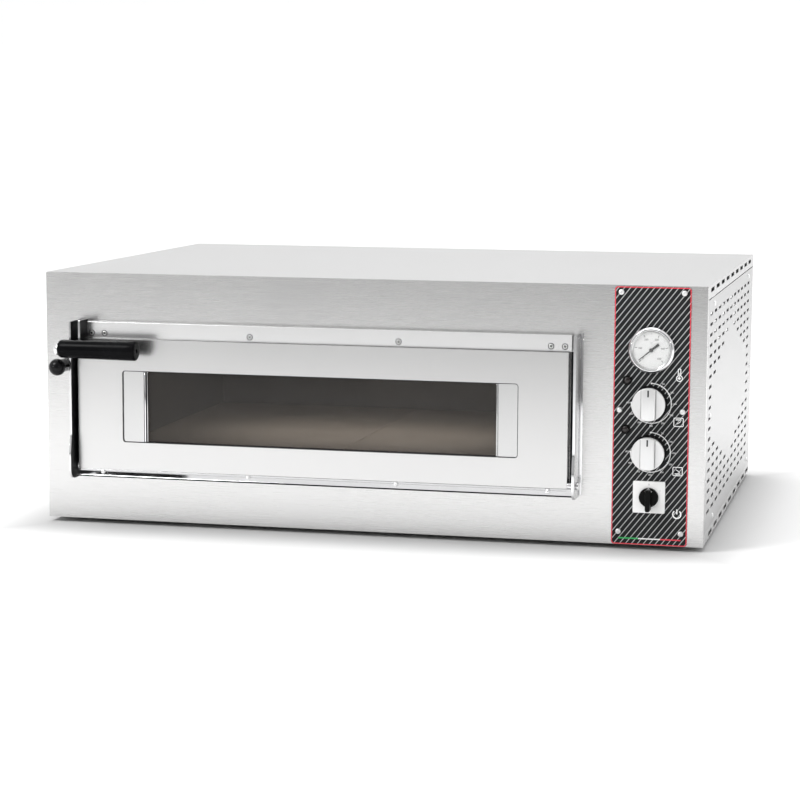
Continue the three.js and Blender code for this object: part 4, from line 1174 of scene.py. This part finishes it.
# ================================================================ stage
def stage():
    """A white floor that sweeps up into a white wall behind, with a painted contact shadow round the oven and a floor
    painted darker far in front, plain world light and three soft lamps.
    """
    bm = bmesh.new()
    prof = [(-16, 0), (-8, 0), (-3, 0), (3, 0), (6, 0)]
    for i in range(1, 17):
        a = math.radians(90 * i / 16)
        prof.append((6 + 5 * math.sin(a), 5 - 5 * math.cos(a)))
    prof.append((11, 14))
    rows = [[bm.verts.new((x, y, z)) for x in (-16, -8, -3, 0, 3, 8, 16)] for y, z in prof]
    for a, b in zip(rows, rows[1:]):
        for i in range(len(a) - 1):
            f = bm.faces.new((a[i], a[i + 1], b[i + 1], b[i]))
            f.smooth = True
    me = bpy.data.meshes.new("floor")
    bm.to_mesh(me)
    bm.free()
    ob = bpy.data.objects.new("floor", me)
    m = bpy.data.materials.new("floor_pale")
    m.use_nodes = True
    p = m.node_tree.nodes["Principled BSDF"]
    p.inputs["Base Color"].default_value = (0.9, 0.9, 0.9, 1)
    p.inputs["Roughness"].default_value = 0.9
    p.inputs["Specular IOR Level"].default_value = 0.0
    p.inputs["Emission Color"].default_value = (1, 1, 1, 1)
    tt = m.node_tree
    tc = tt.nodes.new("ShaderNodeTexCoord")
    sp = tt.nodes.new("ShaderNodeSeparateXYZ")
    tt.links.new(tc.outputs["Object"], sp.inputs[0])

    def fn(op, a, b=None, c=None):
        n = tt.nodes.new("ShaderNodeMath")
        n.operation = op
        for i, v in enumerate((a, b, c)):
            if v is None:
                continue
            if isinstance(v, (int, float)):
                n.inputs[i].default_value = v
            else:
                tt.links.new(v, n.inputs[i])
        return n.outputs[0]

    # distance outside the oven's footprint: the floor glows a little more away from it
    dx = fn("SUBTRACT", fn("ABSOLUTE", sp.outputs["X"]), 0.55)
    dy = fn("SUBTRACT", fn("ABSOLUTE", sp.outputs["Y"]), 0.40)
    d = fn("MAXIMUM", dx, dy)
    glow = tt.nodes.new("ShaderNodeMapRange")
    glow.interpolation_type = "SMOOTHSTEP"
    for k, v in (("From Min", 0.0), ("From Max", 0.42), ("To Min", 0.0), ("To Max", 0.30)):
        glow.inputs[k].default_value = v
    tt.links.new(d, glow.inputs["Value"])
    front = tt.nodes.new("ShaderNodeMapRange")
    front.interpolation_type = "SMOOTHSTEP"
    for k, v in (("From Min", -4.2), ("From Max", -1.6), ("To Min", 0.06), ("To Max", 1.0)):
        front.inputs[k].default_value = v
    tt.links.new(sp.outputs["Y"], front.inputs["Value"])
    tt.links.new(fn("MULTIPLY", glow.outputs["Result"], front.outputs["Result"]), p.inputs["Emission Strength"])
    # floor base colour darker far in front (0.22 against 0.88), out of frame, so the steel reflects less light from
    # there
    cr = tt.nodes.new("ShaderNodeValToRGB")
    ce = cr.color_ramp.elements
    ce[0].position, ce[0].color = 0.06, (0.22, 0.22, 0.22, 1)
    ce[1].position, ce[1].color = 1.0, (0.88, 0.88, 0.88, 1)
    tt.links.new(front.outputs["Result"], cr.inputs["Fac"])
    # base colour darkened near and under the oven: painted contact shadow
    painted_contact_shadow = tt.nodes.new("ShaderNodeMapRange")
    painted_contact_shadow.interpolation_type = "SMOOTHSTEP"
    for k, v in (("From Min", -0.03), ("From Max", 0.11), ("To Min", 0.68), ("To Max", 1.0)):
        painted_contact_shadow.inputs[k].default_value = v
    tt.links.new(d, painted_contact_shadow.inputs["Value"])
    sc = tt.nodes.new("ShaderNodeVectorMath")
    sc.operation = "SCALE"
    tt.links.new(cr.outputs["Color"], sc.inputs[0])
    tt.links.new(painted_contact_shadow.outputs["Result"], sc.inputs["Scale"])
    tt.links.new(sc.outputs[0], p.inputs["Base Color"])
    me.materials.append(m)
    COL.objects.link(ob)
    ob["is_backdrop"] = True

    w = bpy.data.worlds.new("studio")
    bpy.context.scene.world = w
    w.use_nodes = True
    t = w.node_tree
    for n in list(t.nodes):
        t.nodes.remove(n)
    out = t.nodes.new("ShaderNodeOutputWorld")
    bg = t.nodes.new("ShaderNodeBackground")
    co = t.nodes.new("ShaderNodeTexCoord")
    dot = t.nodes.new("ShaderNodeVectorMath")
    dot.operation = "DOT_PRODUCT"
    dot.inputs[1].default_value = Vector((0.50, -0.86, 0.10)).normalized()
    t.links.new(co.outputs["Generated"], dot.inputs[0])
    ramp = t.nodes.new("ShaderNodeValToRGB")
    t.links.new(dot.outputs["Value"], ramp.inputs["Fac"])
    e = ramp.color_ramp.elements
    e[0].position, e[0].color = 0.45, (1.0, 1.0, 1.0, 1)
    e[1].position, e[1].color = 0.97, (0.22, 0.22, 0.22, 1)
    t.links.new(ramp.outputs["Color"], bg.inputs["Color"])
    bg.inputs["Strength"].default_value = 0.95
    t.links.new(bg.outputs[0], out.inputs[0])

    def area(name, loc, target, size, power):
        l = bpy.data.lights.new(name, "AREA")
        l.shape = "RECTANGLE"
        l.size, l.size_y = size
        l.energy = power
        o = bpy.data.objects.new(name, l)
        o.location = loc
        o.rotation_euler = (Vector(target) - Vector(loc)).to_track_quat("-Z", "Y").to_euler()
        COL.objects.link(o)

    area("key", (-2.4, -2.6, 3.4), (0, 0, 0.2), (1.6, 1.6), 95)
    area("spot_left", (-2.6, -2.9, 0.75), (-0.2, -0.4, 0.2), (0.1, 0.1), 3.5)
    area("spot_right", (1.9, -2.5, 0.85), (0.1, -0.4, 0.2), (0.1, 0.1), 3.5)
    area("side", (3.6, 0.6, 1.6), (0.4, 0, 0.2), (1.8, 1.2), 22)
    area("top", (0.2, 0.6, 3.4), (0, 0, 0.3), (3.0, 3.0), 40)
    # the lamp inside the baking chamber
    c0, c1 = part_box("chamber_liner")
    area("chamber_lamp", ((c0.x + c1.x) / 2, (c0.y * 0.55 + c1.y * 0.45), c1.z - 0.035), ((c0.x + c1.x) / 2, (c0.y * 0.55 + c1.y * 0.45), 0), (0.5, 0.25), 0.75)


stage()
bpy.context.scene.view_settings.view_transform = "Standard"
bpy.context.scene.view_settings.look = "None"

lo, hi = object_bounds()
